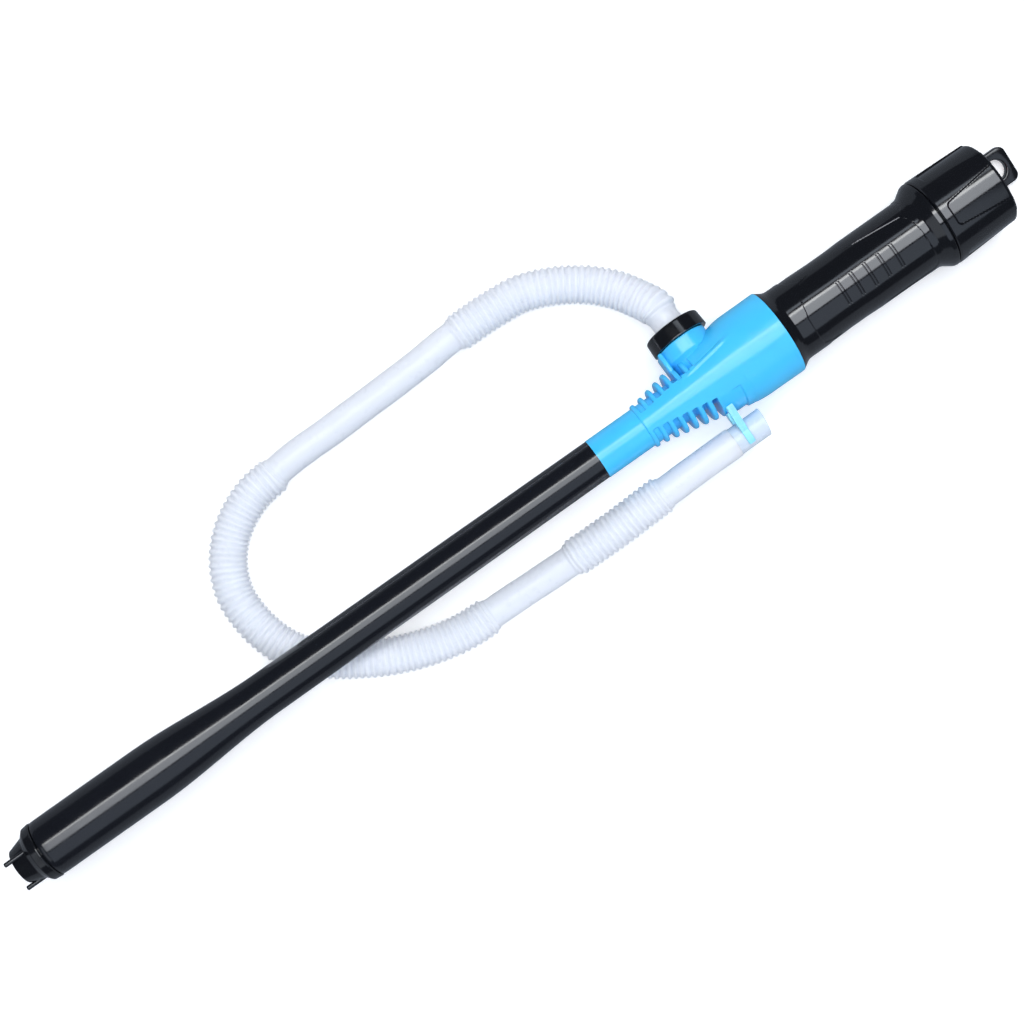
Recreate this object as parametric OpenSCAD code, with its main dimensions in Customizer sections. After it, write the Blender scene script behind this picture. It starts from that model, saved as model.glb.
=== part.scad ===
// Battery fluid transfer pump: a submersible impeller pump on a long suction pipe,
// with a blue head, a battery tube, a screw cap with a push button, and a discharge hose.
// Sizes are millimetres. Most pieces are drawn in the pump's own frame, where +X runs
// along the pump from the intake to the cap, and pump_frame() leans them to the way
// the pump lies: on its collar and on the hose that passes under its pipe.

/* [Suction pipe] */
// Length of the pipe between the intake cap and the blue head
pipe_len = 369; // [300:0.2:450]
// Outer diameter of the swollen lower end, which holds the motor
bulge_d = 33.8; // [32:0.2:38]
// Length of the swollen end before it starts to narrow
bulge_len = 67.4; // [64:0.2:90]
// Length over which the pipe narrows
neck_down_len = 80; // [50:1:110]
// Outer diameter where the narrow part starts
pipe_d = 25; // [24:0.1:27]
// Outer diameter at the head, a little less
pipe_end_d = 23.8; // [22.8:0.1:24.8]
// Wall of the pipe
pipe_wall = 1.9; // [1.5:0.1:2.2]

/* [Intake] */
// Length of the intake cap from its nose to its seam with the pipe
intake_len = 17.8; // [17:0.2:22]
// Diameter of the nose
nose_d = 20.4; // [18:0.2:22]
// Diameter of the cone where it flares out to the rim
flare_d = 26.4; // [25:0.2:28]
// Distance from the nose to that flare
flare_at = 9.6; // [8:0.2:10.6]
// Distance from the nose to the full width of the rim
rim_at = 12.8; // [12:0.2:14]
// Diameter of the inlet bore
inlet_d = 13.2; // [11:0.2:14]
// Diameter of the circle that the three prongs stand on
prong_circle_d = 23.8; // [23:0.2:26.4]
// Diameter of a prong
prong_d = 2.7; // [1.6:0.1:3]
// Number of prongs
prong_count = 3; // [2:1:6]
// How far a prong stands out past the nose
prong_out = 3.4; // [2:0.1:6]
// Turn of the prongs about the pump's axis
prong_turn = 27; // [-60:1:60]
// Depth of the intake cap's spigot inside the pipe
intake_spigot_len = 12; // [8:1:15]

/* [Impeller and motor] */
// Diameter of the impeller
impeller_d = 17.2; // [14:0.2:17.6]
// Length of the impeller's hub
impeller_len = 9; // [7:0.2:9.6]
// Thickness of an impeller blade
blade_t = 1.3; // [1:0.1:1.6]
// Number of impeller blades
blade_count = 4; // [3:1:6]
// Pitch angle of a blade
blade_pitch = 38; // [25:1:50]
// Diameter of the motor's shaft
shaft_d = 2; // [1.5:0.1:2.3]
// Diameter of the motor can
motor_d = 20.4; // [19.6:0.1:21]
// Length of the motor can
motor_len = 30; // [27:0.5:31]
// Wall of the sealed housing round the motor
housing_wall = 1.4; // [1:0.1:1.6]
// Diameter of the cable from the motor to the battery tube
cable_d = 4; // [3.6:0.1:5]

/* [Pump head] */
// Length of the plain sleeve next to the pipe
sleeve_len = 31.9; // [25:0.1:36]
// How far the sleeve stands proud of the pipe
sleeve_step = 0.2; // [0.1:0.05:0.5]
// Diameter of the ring where the cone starts
cone_start_d = 27; // [26.6:0.2:29]
// Diameter of the cone behind its last fin
cone_mid_d = 42.4; // [40:0.2:44]
// Diameter of the cone at its knee
knee_d = 48; // [46:0.2:49]
// Distance from the ring to the knee
knee_from_ring = 53.4; // [51:0.2:56]
// Diameter of the head at the battery tube
head_d = 51.2; // [50:0.2:53]
// Distance from the ring to the head's full diameter
full_from_ring = 66; // [62:0.5:72]
// Length of the head behind the ring, up to the battery tube
head_len = 89.9; // [88:0.1:98]
// Distance from one cooling fin to the next
fin_pitch = 5.77; // [5.4:0.01:6]
// Thickness of a fin
fin_t = 2.75; // [2:0.05:3.2]
// Number of slots on each side
slot_count = 7; // [4:1:7]
// Diameter of the sunk flat round the clip
pad_d = 45.4; // [44.6:0.1:46]
// Wall of the head round the battery tube's spigot
head_wall = 2.5; // [2.2:0.1:3]

/* [Outlet] */
// Distance from the ring to the outlet's axis
outlet_from_ring = 43.75; // [42:0.05:46]
// How far the outlet dips below level
outlet_dip = 9; // [0:0.5:12]
// Diameter of the outlet boss
boss_d = 29.8; // [28:0.2:31]
// Distance from the pump's axis to the end of the boss
boss_reach = 27; // [26:0.2:30]
// Diameter of the neck that the nut screws on
neck_d = 26; // [24:0.2:27]
// Length of that neck
neck_len = 6.2; // [5.4:0.2:7]
// Bore of the outlet
outlet_bore_d = 15; // [12:0.2:16]
// Diameter of the nut
nut_d = 34.4; // [32:0.2:38]

/* [Hose] */
// Outer diameter of the hose over its ribs
hose_d = 22; // [20:0.2:23]
// Outer diameter of its plain stretches
hose_plain_d = 17.4; // [16.8:0.2:19]
// Outer diameter of its plain neck at the nut
hose_neck_d = 18.6; // [17.8:0.2:19.4]
// Length of that neck past the nut
hose_neck_len = 8.7; // [7.6:0.1:9.5]
// Outer diameter of the cuff at its free end
cuff_d = 16.2; // [15.4:0.2:17]
// Bore of the cuff
cuff_bore_d = 13; // [11:0.2:14]
// Length of the cuff
cuff_len = 21; // [18:0.5:26]
// Length of the tail piece inside the hose
tail_len = 13; // [8:0.5:14]

/* [Hose clip] */
// Gap between the head's side and the hose's cuff in the clip
cuff_gap = 5; // [3.6:0.1:7.2]
// How far the clip stands before the outlet's axis, along the pump
clip_before = 1.2; // [0:0.1:2]
// Width of the clip along the pump
clip_w = 4.1; // [3.4:0.1:5]
// Thickness of the clip's arms
clip_t = 1.8; // [1.4:0.1:2.4]
// Angle of the clip's open side
clip_open = 114; // [90:1:140]
// Depth of the clip's foot in the head
clip_seat = 4; // [3:0.2:5]

/* [Battery tube] */
// Length of the tube between the head and the cap
tube_len = 104; // [101:0.1:110]
// Diameter of the grip
grip_d = 44.2; // [43.8:0.2:46]
// Depth of the waist in the grip
waist_depth = 0.35; // [0.2:0.05:0.6]
// Diameter of the collar next to the cap
collar_d = 53.8; // [52.6:0.2:56]
// Bore of the tube
tube_bore_d = 39; // [38:0.2:39.4]
// Number of grip panels round the tube
panel_count = 3; // [2:1:4]
// Number of double grooves in a panel
groove_count = 5; // [3:1:6]
// Distance from the head to the first double groove
groove_from = 38.1; // [34:0.1:42]
// Distance from one double groove to the next
groove_pitch = 8.8; // [7:0.1:9.4]
// Turn of the grip and the cap about the pump's axis
grip_turn = -6.5; // [-20:0.5:20]
// Diameter of one D cell
cell_d = 33.2; // [32.3:0.1:34]
// How far the two D cells stop short of the battery tube's open end
cell_short = 3.4; // [1.5:0.1:4]

/* [End cap] */
// Length of the cap from the collar to its face
cap_len = 39.3; // [38:0.1:44]
// Diameter of the cap's face end
cap_end_d = 51.8; // [50.4:0.2:52.4]
// Number of finger recesses round the cap
recess_count = 5; // [3:1:6]
// Depth of a finger recess
recess_depth = 0.9; // [0.5:0.1:1.2]
// Rounding of the cap's face edge
cap_round = 1.5; // [1:0.5:4]
// Width of the hanging loop
loop_w = 21.9; // [20:0.1:24]
// How far the hanging loop stands out past the face
loop_out = 22.9; // [20:0.1:26]
// Turn of the hanging loop from opposite the first finger recess
loop_turn = -3.5; // [-10:0.5:10]
// Thickness of the hanging loop
loop_t = 5; // [3:0.2:6]
// Diameter of the hole in the hanging loop
loop_hole_d = 12.2; // [9:0.2:13]

/* [Switch] */
// Diameter of the push button
button_d = 19; // [17:0.2:19.6]
// Travel of the push button
button_travel = 2.5; // [1.5:0.1:3]
// Outer diameter of the ring round the button
bezel_d = 26; // [25:0.2:28]
// Depth of the switch behind the cap's face
switch_depth = 12; // [11:0.5:13]

/* [Fit] */
// Clearance between pieces that fit into each other
fit = 0.1; // [0.05:0.01:0.15]
// Clearance between pieces that move past each other
gap = 0.3; // [0.25:0.01:0.35]
// Running clearance round a shaft, on the radius
running = 0.03; // [0.02:0.01:0.05]

/* [Hidden] */
$fn = 72;
over = 1;

// Stations along the pump, from the tip of the nose
pipe_at = intake_len + gap;
head_at = pipe_at + pipe_len;
ring_at = head_at + sleeve_len;
tube_at = ring_at + head_len;
collar_at = tube_at + tube_len;
cap_at = collar_at + gap;
face_at = cap_at + cap_len;
outlet_at = ring_at + outlet_from_ring;
clip_at = outlet_at - clip_before;

// Pipe
bulge_r = bulge_d / 2;
bulge_in_r = bulge_r - pipe_wall;
pipe_end_in_r = pipe_end_d / 2 - pipe_wall;
taper_len = pipe_len - bulge_len - neck_down_len;
smooth_share = function (t) t * t * (3 - 2 * t);
pipe_r_at = function (x) x < bulge_len ? bulge_r
    : x < bulge_len + neck_down_len
        ? bulge_r - (bulge_d - pipe_d) / 2 * smooth_share((x - bulge_len) / neck_down_len)
        : (pipe_d - (pipe_d - pipe_end_d) * (x - bulge_len - neck_down_len) / taper_len) / 2;

// Intake cap, with the chamber for the impeller
edge_round = 0.9;
rim_step = 0.4;
rim_flare = 0.5;
rim_r = bulge_r + rim_step;
rim_front_r = rim_r - rim_flare;
nose_r = nose_d / 2;
nose_wall = 4;
chamber_r = impeller_d / 2 + gap;
chamber_len = 11.4;
chamber_end = nose_wall + chamber_len;
prong_step = 360 / prong_count;
spigot_wall = 1.4;
spigot_r = bulge_in_r - fit;
spigot_in_r = spigot_r - spigot_wall;

// Impeller, shaft and motor
impeller_gap = 1.2;
impeller_at = nose_wall + impeller_gap;
hub_r = 3.2;
blade_w = 6.4;
shaft_in_hub = 5.8;
shaft_r = shaft_d / 2;
press = 0.02;
housing_gap = 2.2;
housing_at = intake_len + housing_gap;
housing_in_r = motor_d / 2 + fit;
housing_r = housing_in_r + housing_wall;
front_wall = 3;
seal_lip = 1;
motor_at = housing_at + front_wall + fit;
can_wall = 0.7;
bell_t = 2.2;
bell_at = motor_at + motor_len;
bell_end = bell_at + bell_t;
bell_skin = 0.6;
terminal_len = 3;
terminal_w = 2;
terminal_t = 0.7;
terminal_off = 5;
leads_len = 6;
cable_at = bell_end + terminal_len + leads_len;
lead_r = 0.8;
lead_off = 1;
housing_end = cable_at + fit;
housing_cap_t = 4;
housing_cap_lip = 2;
housing_neck_len = 3;
housing_neck_r = 4;
fin_rib_t = 1.8;
fin_rib_count = 3;
bearing_r = 2.6;
bearing_len = 2.4;
armature_in = 6;
armature_r = 6.5;
armature_len = 14;
commutator_r = 2.9;
commutator_len = 4;
armature_at = motor_at + armature_in;
air_gap = 0.6;
magnet_in_r = armature_r + air_gap;
magnet_r = motor_d / 2 - can_wall - press;
magnet_len = 18;
magnet_arc = 130;
cable_r = cable_d / 2;

// Pump head: wet bore, bulkhead and rear socket
wet_wall = 1.5;
head_spigot_len = 15;
head_spigot_r = pipe_end_in_r - fit;
wet_r = head_spigot_r - wet_wall;
wet_past_outlet = 2.5;
wet_end = outlet_at + outlet_bore_d / 2 + wet_past_outlet;
rear_wall = 4;
rear_at = wet_end + rear_wall;
sleeve_r = pipe_end_d / 2 + sleeve_step;
head_r = head_d / 2;
socket_r = head_r - head_wall;
tube_spigot_len = 14;
socket_at = tube_at - tube_spigot_len - gap;
fins_end = ring_at + slot_count * fin_pitch - fin_t / 2;
cone_mid_at = fins_end + edge_round;
slot_in = 4.4;
slot_in_step = 0.9;
outlet_slot_in = 7.1;
outlet_slot_in_step = 0.8;
boss_fin = 5;
boss_fin_half = 9;
pad_turn = -90;
pad_half = 62;
gland_r = cable_r + 2 * edge_round;
gland_lip = 1.5;
gland_lip_t = 1.6;
seal_ring_r = 0.9;
seal_ring_at = 4;
seal_squeeze = 0.1;

// Outlet, nut and tail piece, by distances from the pump's axis along the outlet
neck_end = boss_reach + neck_len;
gasket_t = 0.8;
tail_flange_t = 1;
hose_start = neck_end + gasket_t + tail_flange_t;
washer_t = 0.4;
nut_plate_at = hose_start + washer_t + fit;
nut_plate_t = 1.2;
nut_top = nut_plate_at + nut_plate_t;
neck_r = neck_d / 2;
nut_in_r = neck_r + gap;
nut_r = nut_d / 2;
nut_taper = 0.5;
nut_round = 1.4;
hose_neck_r = hose_neck_d / 2;
nut_hole_r = hose_neck_r + gap;
tail_wall = 1.2;
tail_r = hose_plain_d / 2 - 2 * edge_round;
tail_bore_r = tail_r - tail_wall;

// Clip on the head's side
clip_reach = pad_d / 2 + cuff_gap + cuff_d / 2;
clip_r = cuff_d / 2 + fit;
clip_out_r = clip_r + clip_t;
clip_foot = pad_d / 2 - clip_seat;
clip_low = 7;
clip_rib_w = 2;
cuff_past = 7.5;
cuff_at = clip_at - cuff_past;

// Battery tube
grip_r = grip_d / 2;
collar_r = collar_d / 2;
tube_bore_r = tube_bore_d / 2;
tube_spigot_r = socket_r - fit;
shoulder_len = 5.2;
waist_from = 33;
waist_len = 11;
waist_blend = 11;
collar_len = 3;
collar_slope = 6.1;
collar_edge = 0.6;
tube_neck_wall = 3.5;
tube_neck_r = tube_bore_r + tube_neck_wall;
tube_neck_len = 13;
tube_end = collar_at + tube_neck_len;
groove_w = 0.5;
groove_depth = 0.4;
groove_pair = 1.6;
groove_half = 20;
panel_from = 14;
panel_to_collar = 2.7;
panel_half = 40;
tube_rib_w = 2;
tube_rib_count = 6;
cell_r = cell_d / 2;
cell_play = 0.4;
cell_rim = 1.2;
cell_nub_r = 4.75;
cell_nub_len = 1.5;

// Contacts in the battery tube
carrier_in = 1;
carrier_at = tube_at - tube_spigot_len + carrier_in;
carrier_t = 3;
leaf_r = 8;
leaf_t = 0.5;
leaf_at = carrier_at + carrier_t;
cells_at = leaf_at + leaf_t + fit;
cells_end = tube_end - cell_short;
cell_len = (cells_end - cells_at) / 2;
strip_w = 5;
strip_t = 0.4;
strip_tab = 2;
strip_gap = 0.3;
strip_top = tube_bore_r - strip_gap;
leads_at = rear_at + gland_lip_t + gap;

// End cap and what it carries
cap_r = collar_r;
cap_end_r = cap_end_d / 2;
cap_in_r = tube_neck_r + gap;
cap_wall = cap_r - cap_in_r;
cap_face_t = 3;
seal_t = 1.4;
seal_w = 2;
seal_in_r = tube_neck_r + gap / 2;
ring_seat_at = tube_end + gap + strip_t;
contact_ring_t = 0.4;
recess_from = 5.1;
recess_start_w = 14.4;
recess_end_w = 23.6;
recess_corner = 2.7;
loop_edge = 2;
loop_top_r = cap_end_r - loop_edge;
loop_corner = 2.5;
loop_hole_out = 12.6;
button_r = button_d / 2;
button_proud = button_travel + gap;
button_flange = 0.9;
button_flange_t = 1.2;
button_skirt = 1.6;
button_len = 6.6;
button_stem_r = 2.2;
bezel_r = bezel_d / 2;
bezel_t = 0.9;
switch_wall = 1.1;
switch_in_r = button_r + button_flange + gap;
switch_r = switch_in_r + switch_wall;
switch_floor_t = 1.5;
spring_wire_r = 0.5;
spring_turns = 3.5;
spring_small_r = 4.5;
spring_large_r = 8.4;
switch_spring_r = 4;
switch_wire_r = 0.35;
switch_turns = 3;

// How the pump lies: its collar on the ground, its pipe on the hose that crosses under it
crossing_back = 266.6;
crossing_at = outlet_at - crossing_back;
crossing_r = pipe_r_at(crossing_at - pipe_at);
lift = hose_d + gap + crossing_r - collar_r;
lean = asin(lift / (cap_at - crossing_at));
stand_z = collar_r * cos(lean) + cap_at * sin(lean);
back_to_middle = (face_at + loop_out - prong_out) / 2;
outlet_side = (nut_plate_at + tail_len) * cos(outlet_dip);
clip_side = clip_reach + cuff_d / 2;
side_shift = (outlet_side - clip_side) / 2;

// A point of the pump's own frame, as the pump lies
pump_point = function (x, y, z) [
    -back_to_middle + x * cos(lean) + z * sin(lean),
    -side_shift + y,
    stand_z - x * sin(lean) + z * cos(lean)
];
outlet_point = function (a)
    pump_point(outlet_at, a * cos(outlet_dip), -a * sin(outlet_dip));

// The hose's route by hand: x from the outlet, y from the pump's axis, the height of its
// underside over the ground, and 1 where it is ribbed or 0 where it is plain
ground_route = [
    [-5.5, 61, 6, 1], [-11.5, 71, 2.5, 1], [-19, 79.5, 0.5, 1], [-32, 89.5, 0, 1],
    [-44, 96, 0, 1], [-56, 100.5, 0, 1], [-73, 102.5, 0, 1], [-98, 103, 0, 1],
    [-101, 103, 0, 0], [-123, 101.5, 0, 0], [-183, 99.5, 0, 0], [-225, 98, 0, 0],
    [-228, 97.5, 0, 1], [-241, 96, 0, 1], [-256, 90.5, 0, 1], [-269, 81.5, 0, 1],
    [-278.5, 69.5, 0, 1], [-284, 55, 0, 1], [-284.5, 40, 0, 1], [-281.5, 24, 0, 1],
    [-275, 9.5, 0, 1], [-264, -3, 0, 1], [-248, -14.5, 0, 1], [-230, -24.5, 0, 1],
    [-211, -31.5, 0, 1], [-193, -35.5, 0, 1], [-175.5, -36.5, 0, 1], [-172.5, -36.5, 0, 0],
    [-120, -37.5, 5, 0], [-117, -37.5, 5.5, 1], [-90, -37.5, 10, 1], [-58, -36.5, 15.5, 1],
    [-55, -36.5, 16, 0], [-37, -36, 18, 0]
];
neck_share = (hose_neck_d - hose_plain_d) / (hose_d - hose_plain_d);
neck_blend = 3;
cuff_run = 16;
hose_route = concat(
    [concat(outlet_point(hose_start), neck_share),
     concat(outlet_point(nut_top + hose_neck_len), neck_share),
     concat(outlet_point(nut_top + hose_neck_len + neck_blend), 1)],
    [for (p = ground_route)
        [outlet_at - back_to_middle + p[0], p[1] - side_shift, p[2] + hose_d / 2, p[3]]],
    [concat(pump_point(cuff_at - cuff_run, -clip_reach, 0), 0),
     concat(pump_point(cuff_at, -clip_reach, 0), 0)]
);
hose_sides = 12;

// Colours
black = [0.05, 0.05, 0.06];
soft_black = [0.1, 0.1, 0.11];
blue = [0.14, 0.62, 0.95];
light_blue = [0.35, 0.75, 0.95];
milky = [0.85, 0.9, 0.97];
red = [0.8, 0.06, 0.07];
steel = [0.7, 0.71, 0.73];
copper = [0.75, 0.45, 0.25];
brass = [0.8, 0.65, 0.3];
white = [0.92, 0.92, 0.9];
green = [0.2, 0.5, 0.3];

// Places
module pump_frame() {
    translate([-back_to_middle, -side_shift, stand_z]) rotate([0, lean, 0]) children();
}

module outlet_turn() {
    translate([outlet_at, 0, 0]) rotate([-90 - outlet_dip, 0, 0]) children();
}

module outlet_frame() {
    pump_frame() outlet_turn() children();
}

// Turned by clock about the pump's axis: 0 is up, 90 is the outlet's side
module clock(turn) {
    rotate([-turn, 0, 0]) children();
}

// A body turned about the pump's axis, from points [radius, station]
module turned(points) {
    rotate([0, 90, 0]) rotate_extrude() polygon(points);
}

module bar(from, to, r) {
    translate([from, 0, 0]) rotate([0, 90, 0]) cylinder(r = r, h = to - from);
}

module pipe_piece(from, to, r, inner) {
    difference() {
        bar(from, to, r);
        bar(from - over, to + over, inner);
    }
}

// A disc with a hole, in the outlet's frame
module washer(at, t, r, inner) {
    translate([0, 0, at]) difference() {
        cylinder(r = r, h = t);
        translate([0, 0, -over]) cylinder(r = inner, h = t + 2 * over);
    }
}

// A cut round part of a turned body, from a radius outwards
module arc_cut(turn, half, from, to, r, depth) {
    clock(turn) rotate([0, 90, 0]) rotate([0, 0, 180 - half])
        rotate_extrude(angle = 2 * half)
            translate([r - depth, from]) square([depth + over, to - from]);
}

// A tube swept along points, with its own radius at each point
unit = function (v) v / norm(v);
sweep_rings = function (path, radii, sides, ref)
    [for (i = [0:len(path) - 1])
        let (t = unit(path[min(i + 1, len(path) - 1)] - path[max(i - 1, 0)]),
             s = unit(cross(t, ref)), q = cross(s, t))
        for (k = [0:sides - 1])
            path[i] + radii[i] * (cos(360 * k / sides) * s + sin(360 * k / sides) * q)];

module sweep(path, radii, sides, ref) {
    last = (len(path) - 1) * sides;
    polyhedron(
        points = sweep_rings(path, radii, sides, ref),
        faces = concat(
            [[for (k = [0:sides - 1]) k]],
            [for (i = [0:len(path) - 2], k = [0:sides - 1], half = [0, 1])
                let (a = i * sides + k, b = i * sides + (k + 1) % sides)
                half == 0 ? [a, a + sides, b + sides] : [a, b + sides, b]],
            [[for (k = [sides - 1:-1:0]) last + k]]
        )
    );
}

// A smooth curve through a route's points, which may lie at uneven distances
place = function (p) [p[0], p[1], p[2]];
stretch = function (p, i) norm(place(p[i + 1]) - place(p[i]));
slope = function (p, i)
    i == 0 ? (p[1] - p[0]) / stretch(p, 0)
    : i == len(p) - 1 ? (p[i] - p[i - 1]) / stretch(p, i - 1)
    : let (before = stretch(p, i - 1), after = stretch(p, i))
        ((p[i] - p[i - 1]) * after / before + (p[i + 1] - p[i]) * before / after)
            / (before + after);
blend = function (p, i, t)
    let (run = stretch(p, i), turn = smooth_share(t))
    p[i] * (1 - turn) + p[i + 1] * turn
        + (slope(p, i) * (1 - t) - slope(p, i + 1) * t) * run * t * (1 - t);

// A wire that shifts sideways half-way: it leaves and arrives along the pump
wire_steps = 8;
wire_path = function (from, to) [for (i = [0:wire_steps])
    let (t = i / wire_steps,
         bent = smooth_share(min(max((i - 1) / (wire_steps - 2), 0), 1)))
    [from[0] + (to[0] - from[0]) * t, from[1] + (to[1] - from[1]) * bent,
        from[2] + (to[2] - from[2]) * bent]];

module wire(from, to, r) {
    path = wire_path(from, to);
    sweep(path, [for (p = path) r], 8, [0, 0, 1]);
}

// Suction pipe and intake
module suction_pipe() {
    steps = 16;
    stations = concat(
        [0, bulge_len],
        [for (i = [1:steps]) bulge_len + neck_down_len * i / steps],
        [pipe_len]
    );
    color(black) pump_frame() translate([pipe_at, 0, 0])
        turned(concat(
            [for (x = stations) [pipe_r_at(x), x]],
            [for (i = [len(stations) - 1:-1:0]) [pipe_r_at(stations[i]) - pipe_wall, stations[i]]]
        ));
}

module intake_cap() {
    prong_tip = prong_out - prong_d / 2;
    color(black) pump_frame() {
        turned([
            [inlet_d / 2, 0], [nose_r - edge_round, 0], [nose_r, edge_round],
            [flare_d / 2, flare_at], [rim_front_r - edge_round, rim_at - edge_round],
            [rim_front_r, rim_at], [rim_r, intake_len],
            [spigot_r, intake_len], [spigot_r, intake_len + intake_spigot_len],
            [spigot_in_r, intake_len + intake_spigot_len], [spigot_in_r, intake_len],
            [chamber_r, chamber_end], [chamber_r, nose_wall], [inlet_d / 2, nose_wall]
        ]);
        for (i = [0:prong_count - 1]) clock(prong_turn + prong_step * i) translate([0, 0, prong_circle_d / 2]) {
            bar(-prong_tip, rim_at, prong_d / 2);
            translate([-prong_tip, 0, 0]) sphere(d = prong_d, $fn = 24);
        }
    }
}

module impeller() {
    color(red) pump_frame() difference() {
        union() {
            bar(impeller_at, impeller_at + impeller_len, hub_r);
            intersection() {
                bar(impeller_at, impeller_at + impeller_len, impeller_d / 2);
                for (i = [0:blade_count - 1]) rotate([360 * i / blade_count, 0, 0])
                    translate([impeller_at + impeller_len / 2, 0, impeller_d / 4])
                        rotate([0, 0, blade_pitch])
                            cube([blade_w, blade_t, impeller_d / 2], center = true);
            }
        }
        bar(impeller_at + impeller_len - shaft_in_hub, impeller_at + impeller_len + over,
            shaft_r + press);
    }
}

// Motor
module motor_shaft() {
    color(steel) pump_frame()
        bar(impeller_at + impeller_len - shaft_in_hub, bell_end - bell_skin - fit, shaft_r);
}

module motor_armature() {
    color(copper) pump_frame() difference() {
        union() {
            bar(armature_at, armature_at + armature_len, armature_r);
            bar(armature_at, armature_at + armature_len + commutator_len, commutator_r);
        }
        bar(armature_at - over, armature_at + armature_len + commutator_len + over,
            shaft_r + press);
    }
}

module motor_housing() {
    color(soft_black) pump_frame() {
        turned([
            [shaft_r + gap, housing_at], [housing_r - housing_wall, housing_at],
            [housing_r, housing_at + housing_wall], [housing_r, housing_end],
            [housing_in_r, housing_end], [housing_in_r, housing_at + front_wall],
            [bearing_r, housing_at + front_wall], [bearing_r, housing_at + seal_lip],
            [shaft_r + gap, housing_at + seal_lip]
        ]);
        for (i = [0:fin_rib_count - 1]) clock(360 * i / fin_rib_count)
            translate([housing_at + intake_spigot_len, -fin_rib_t / 2, housing_r - fit])
                cube([housing_end - housing_at - intake_spigot_len, fin_rib_t,
                    bulge_in_r - housing_r]);
    }
}

module housing_cap() {
    color(soft_black) pump_frame() difference() {
        union() {
            bar(housing_end - housing_cap_lip, housing_end, housing_in_r - fit);
            bar(housing_end, housing_end + housing_cap_t, housing_r);
            bar(housing_end, housing_end + housing_cap_t + housing_neck_len, housing_neck_r);
        }
        bar(housing_end - housing_cap_lip - over, housing_end, housing_in_r - housing_wall);
        bar(cable_at - over, housing_end + housing_cap_t + housing_neck_len + over,
            cable_r + fit);
    }
}

module shaft_seal() {
    color(soft_black) pump_frame()
        pipe_piece(housing_at + seal_lip + fit, housing_at + front_wall,
            bearing_r - fit, shaft_r + running);
}

module motor_can() {
    color(steel) pump_frame() turned([
        [bearing_r, motor_at], [motor_d / 2, motor_at], [motor_d / 2, bell_at],
        [motor_d / 2 - can_wall, bell_at], [motor_d / 2 - can_wall, motor_at + can_wall],
        [bearing_r + can_wall, motor_at + can_wall],
        [bearing_r + can_wall, motor_at + bearing_len], [bearing_r, motor_at + bearing_len]
    ]);
}

module motor_magnets() {
    color(soft_black) pump_frame() for (turn = [0, 180]) clock(turn)
        rotate([0, 90, 0]) rotate([0, 0, 180 - magnet_arc / 2])
            rotate_extrude(angle = magnet_arc)
                translate([magnet_in_r, armature_at - (magnet_len - armature_len) / 2])
                    square([magnet_r - magnet_in_r, magnet_len]);
}

module motor_end_bell() {
    bore_end = bell_end - bell_skin;
    color(white) pump_frame() turned([
        [bearing_r, bell_at - bearing_len], [bearing_r + can_wall, bell_at - bearing_len],
        [bearing_r + can_wall, bell_at], [motor_d / 2, bell_at],
        [motor_d / 2, bell_end], [0, bell_end], [0, bore_end], [bearing_r, bore_end]
    ]);
}

module motor_terminals() {
    color(brass) pump_frame() for (side = [-1, 1])
        translate([bell_end, side * terminal_off - terminal_w / 2, -terminal_t / 2])
            cube([terminal_len, terminal_w, terminal_t]);
}

module motor_bearings() {
    color(brass) pump_frame() for (at = [motor_at, bell_at - bearing_len])
        pipe_piece(at, at + bearing_len, bearing_r - press, shaft_r + running);
}

module motor_leads() {
    color(red) pump_frame() for (side = [-1, 1])
        wire([bell_end + terminal_len, side * terminal_off, 0], [cable_at, side * lead_off, 0],
            lead_r);
}

module motor_cable() {
    color(soft_black) pump_frame() bar(cable_at, leads_at, cable_r);
}

// Pump head
module head_slots(side, first_in, in_step) {
    for (i = [0:slot_count - 1]) {
        inner = first_in + i * in_step;
        translate([ring_at + i * fin_pitch + fin_t / 2, side > 0 ? inner : -head_d, -head_r])
            cube([fin_pitch - fin_t, head_d - inner, head_d]);
    }
}

module head_outside() {
    difference() {
        turned([
            [0, ring_at - fin_t / 2], [cone_start_d / 2, ring_at - fin_t / 2],
            [cone_start_d / 2, ring_at + fin_t / 2], [cone_mid_d / 2, cone_mid_at],
            [knee_d / 2, ring_at + knee_from_ring], [head_r, ring_at + full_from_ring],
            [head_r, tube_at], [0, tube_at]
        ]);
        head_slots(-1, slot_in, slot_in_step);
        head_slots(1, outlet_slot_in, outlet_slot_in_step);
        arc_cut(pad_turn, pad_half, cone_mid_at, ring_at + knee_from_ring, head_r,
            head_r - pad_d / 2);
    }
    bar(head_at, cone_mid_at, sleeve_r);
    bar(head_at - head_spigot_len, head_at + over, head_spigot_r);
    outlet_turn() {
        cylinder(d = boss_d, h = boss_reach);
        cylinder(r = neck_r, h = neck_end);
    }
    outlet_turn() translate([boss_fin * fin_pitch - fin_t / 2 - outlet_from_ring, -boss_fin_half, 0])
        cube([fin_t, 2 * boss_fin_half, boss_reach]);
}

module pump_head() {
    color(blue) pump_frame() difference() {
        head_outside();
        bar(head_at - head_spigot_len - over, wet_end, wet_r);
        bar(wet_end - over, tube_at, gland_r);
        bar(rear_at, tube_at + over, tube_bore_r);
        bar(socket_at, tube_at + over, socket_r);
        outlet_turn() cylinder(d = outlet_bore_d, h = neck_end + over);
        translate([clip_at - clip_w / 2 - fit, -clip_reach, -clip_low - fit])
            cube([clip_w + 2 * fit, clip_reach - clip_foot + fit,
                clip_low + clip_out_r + 2 * fit]);
    }
}

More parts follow.
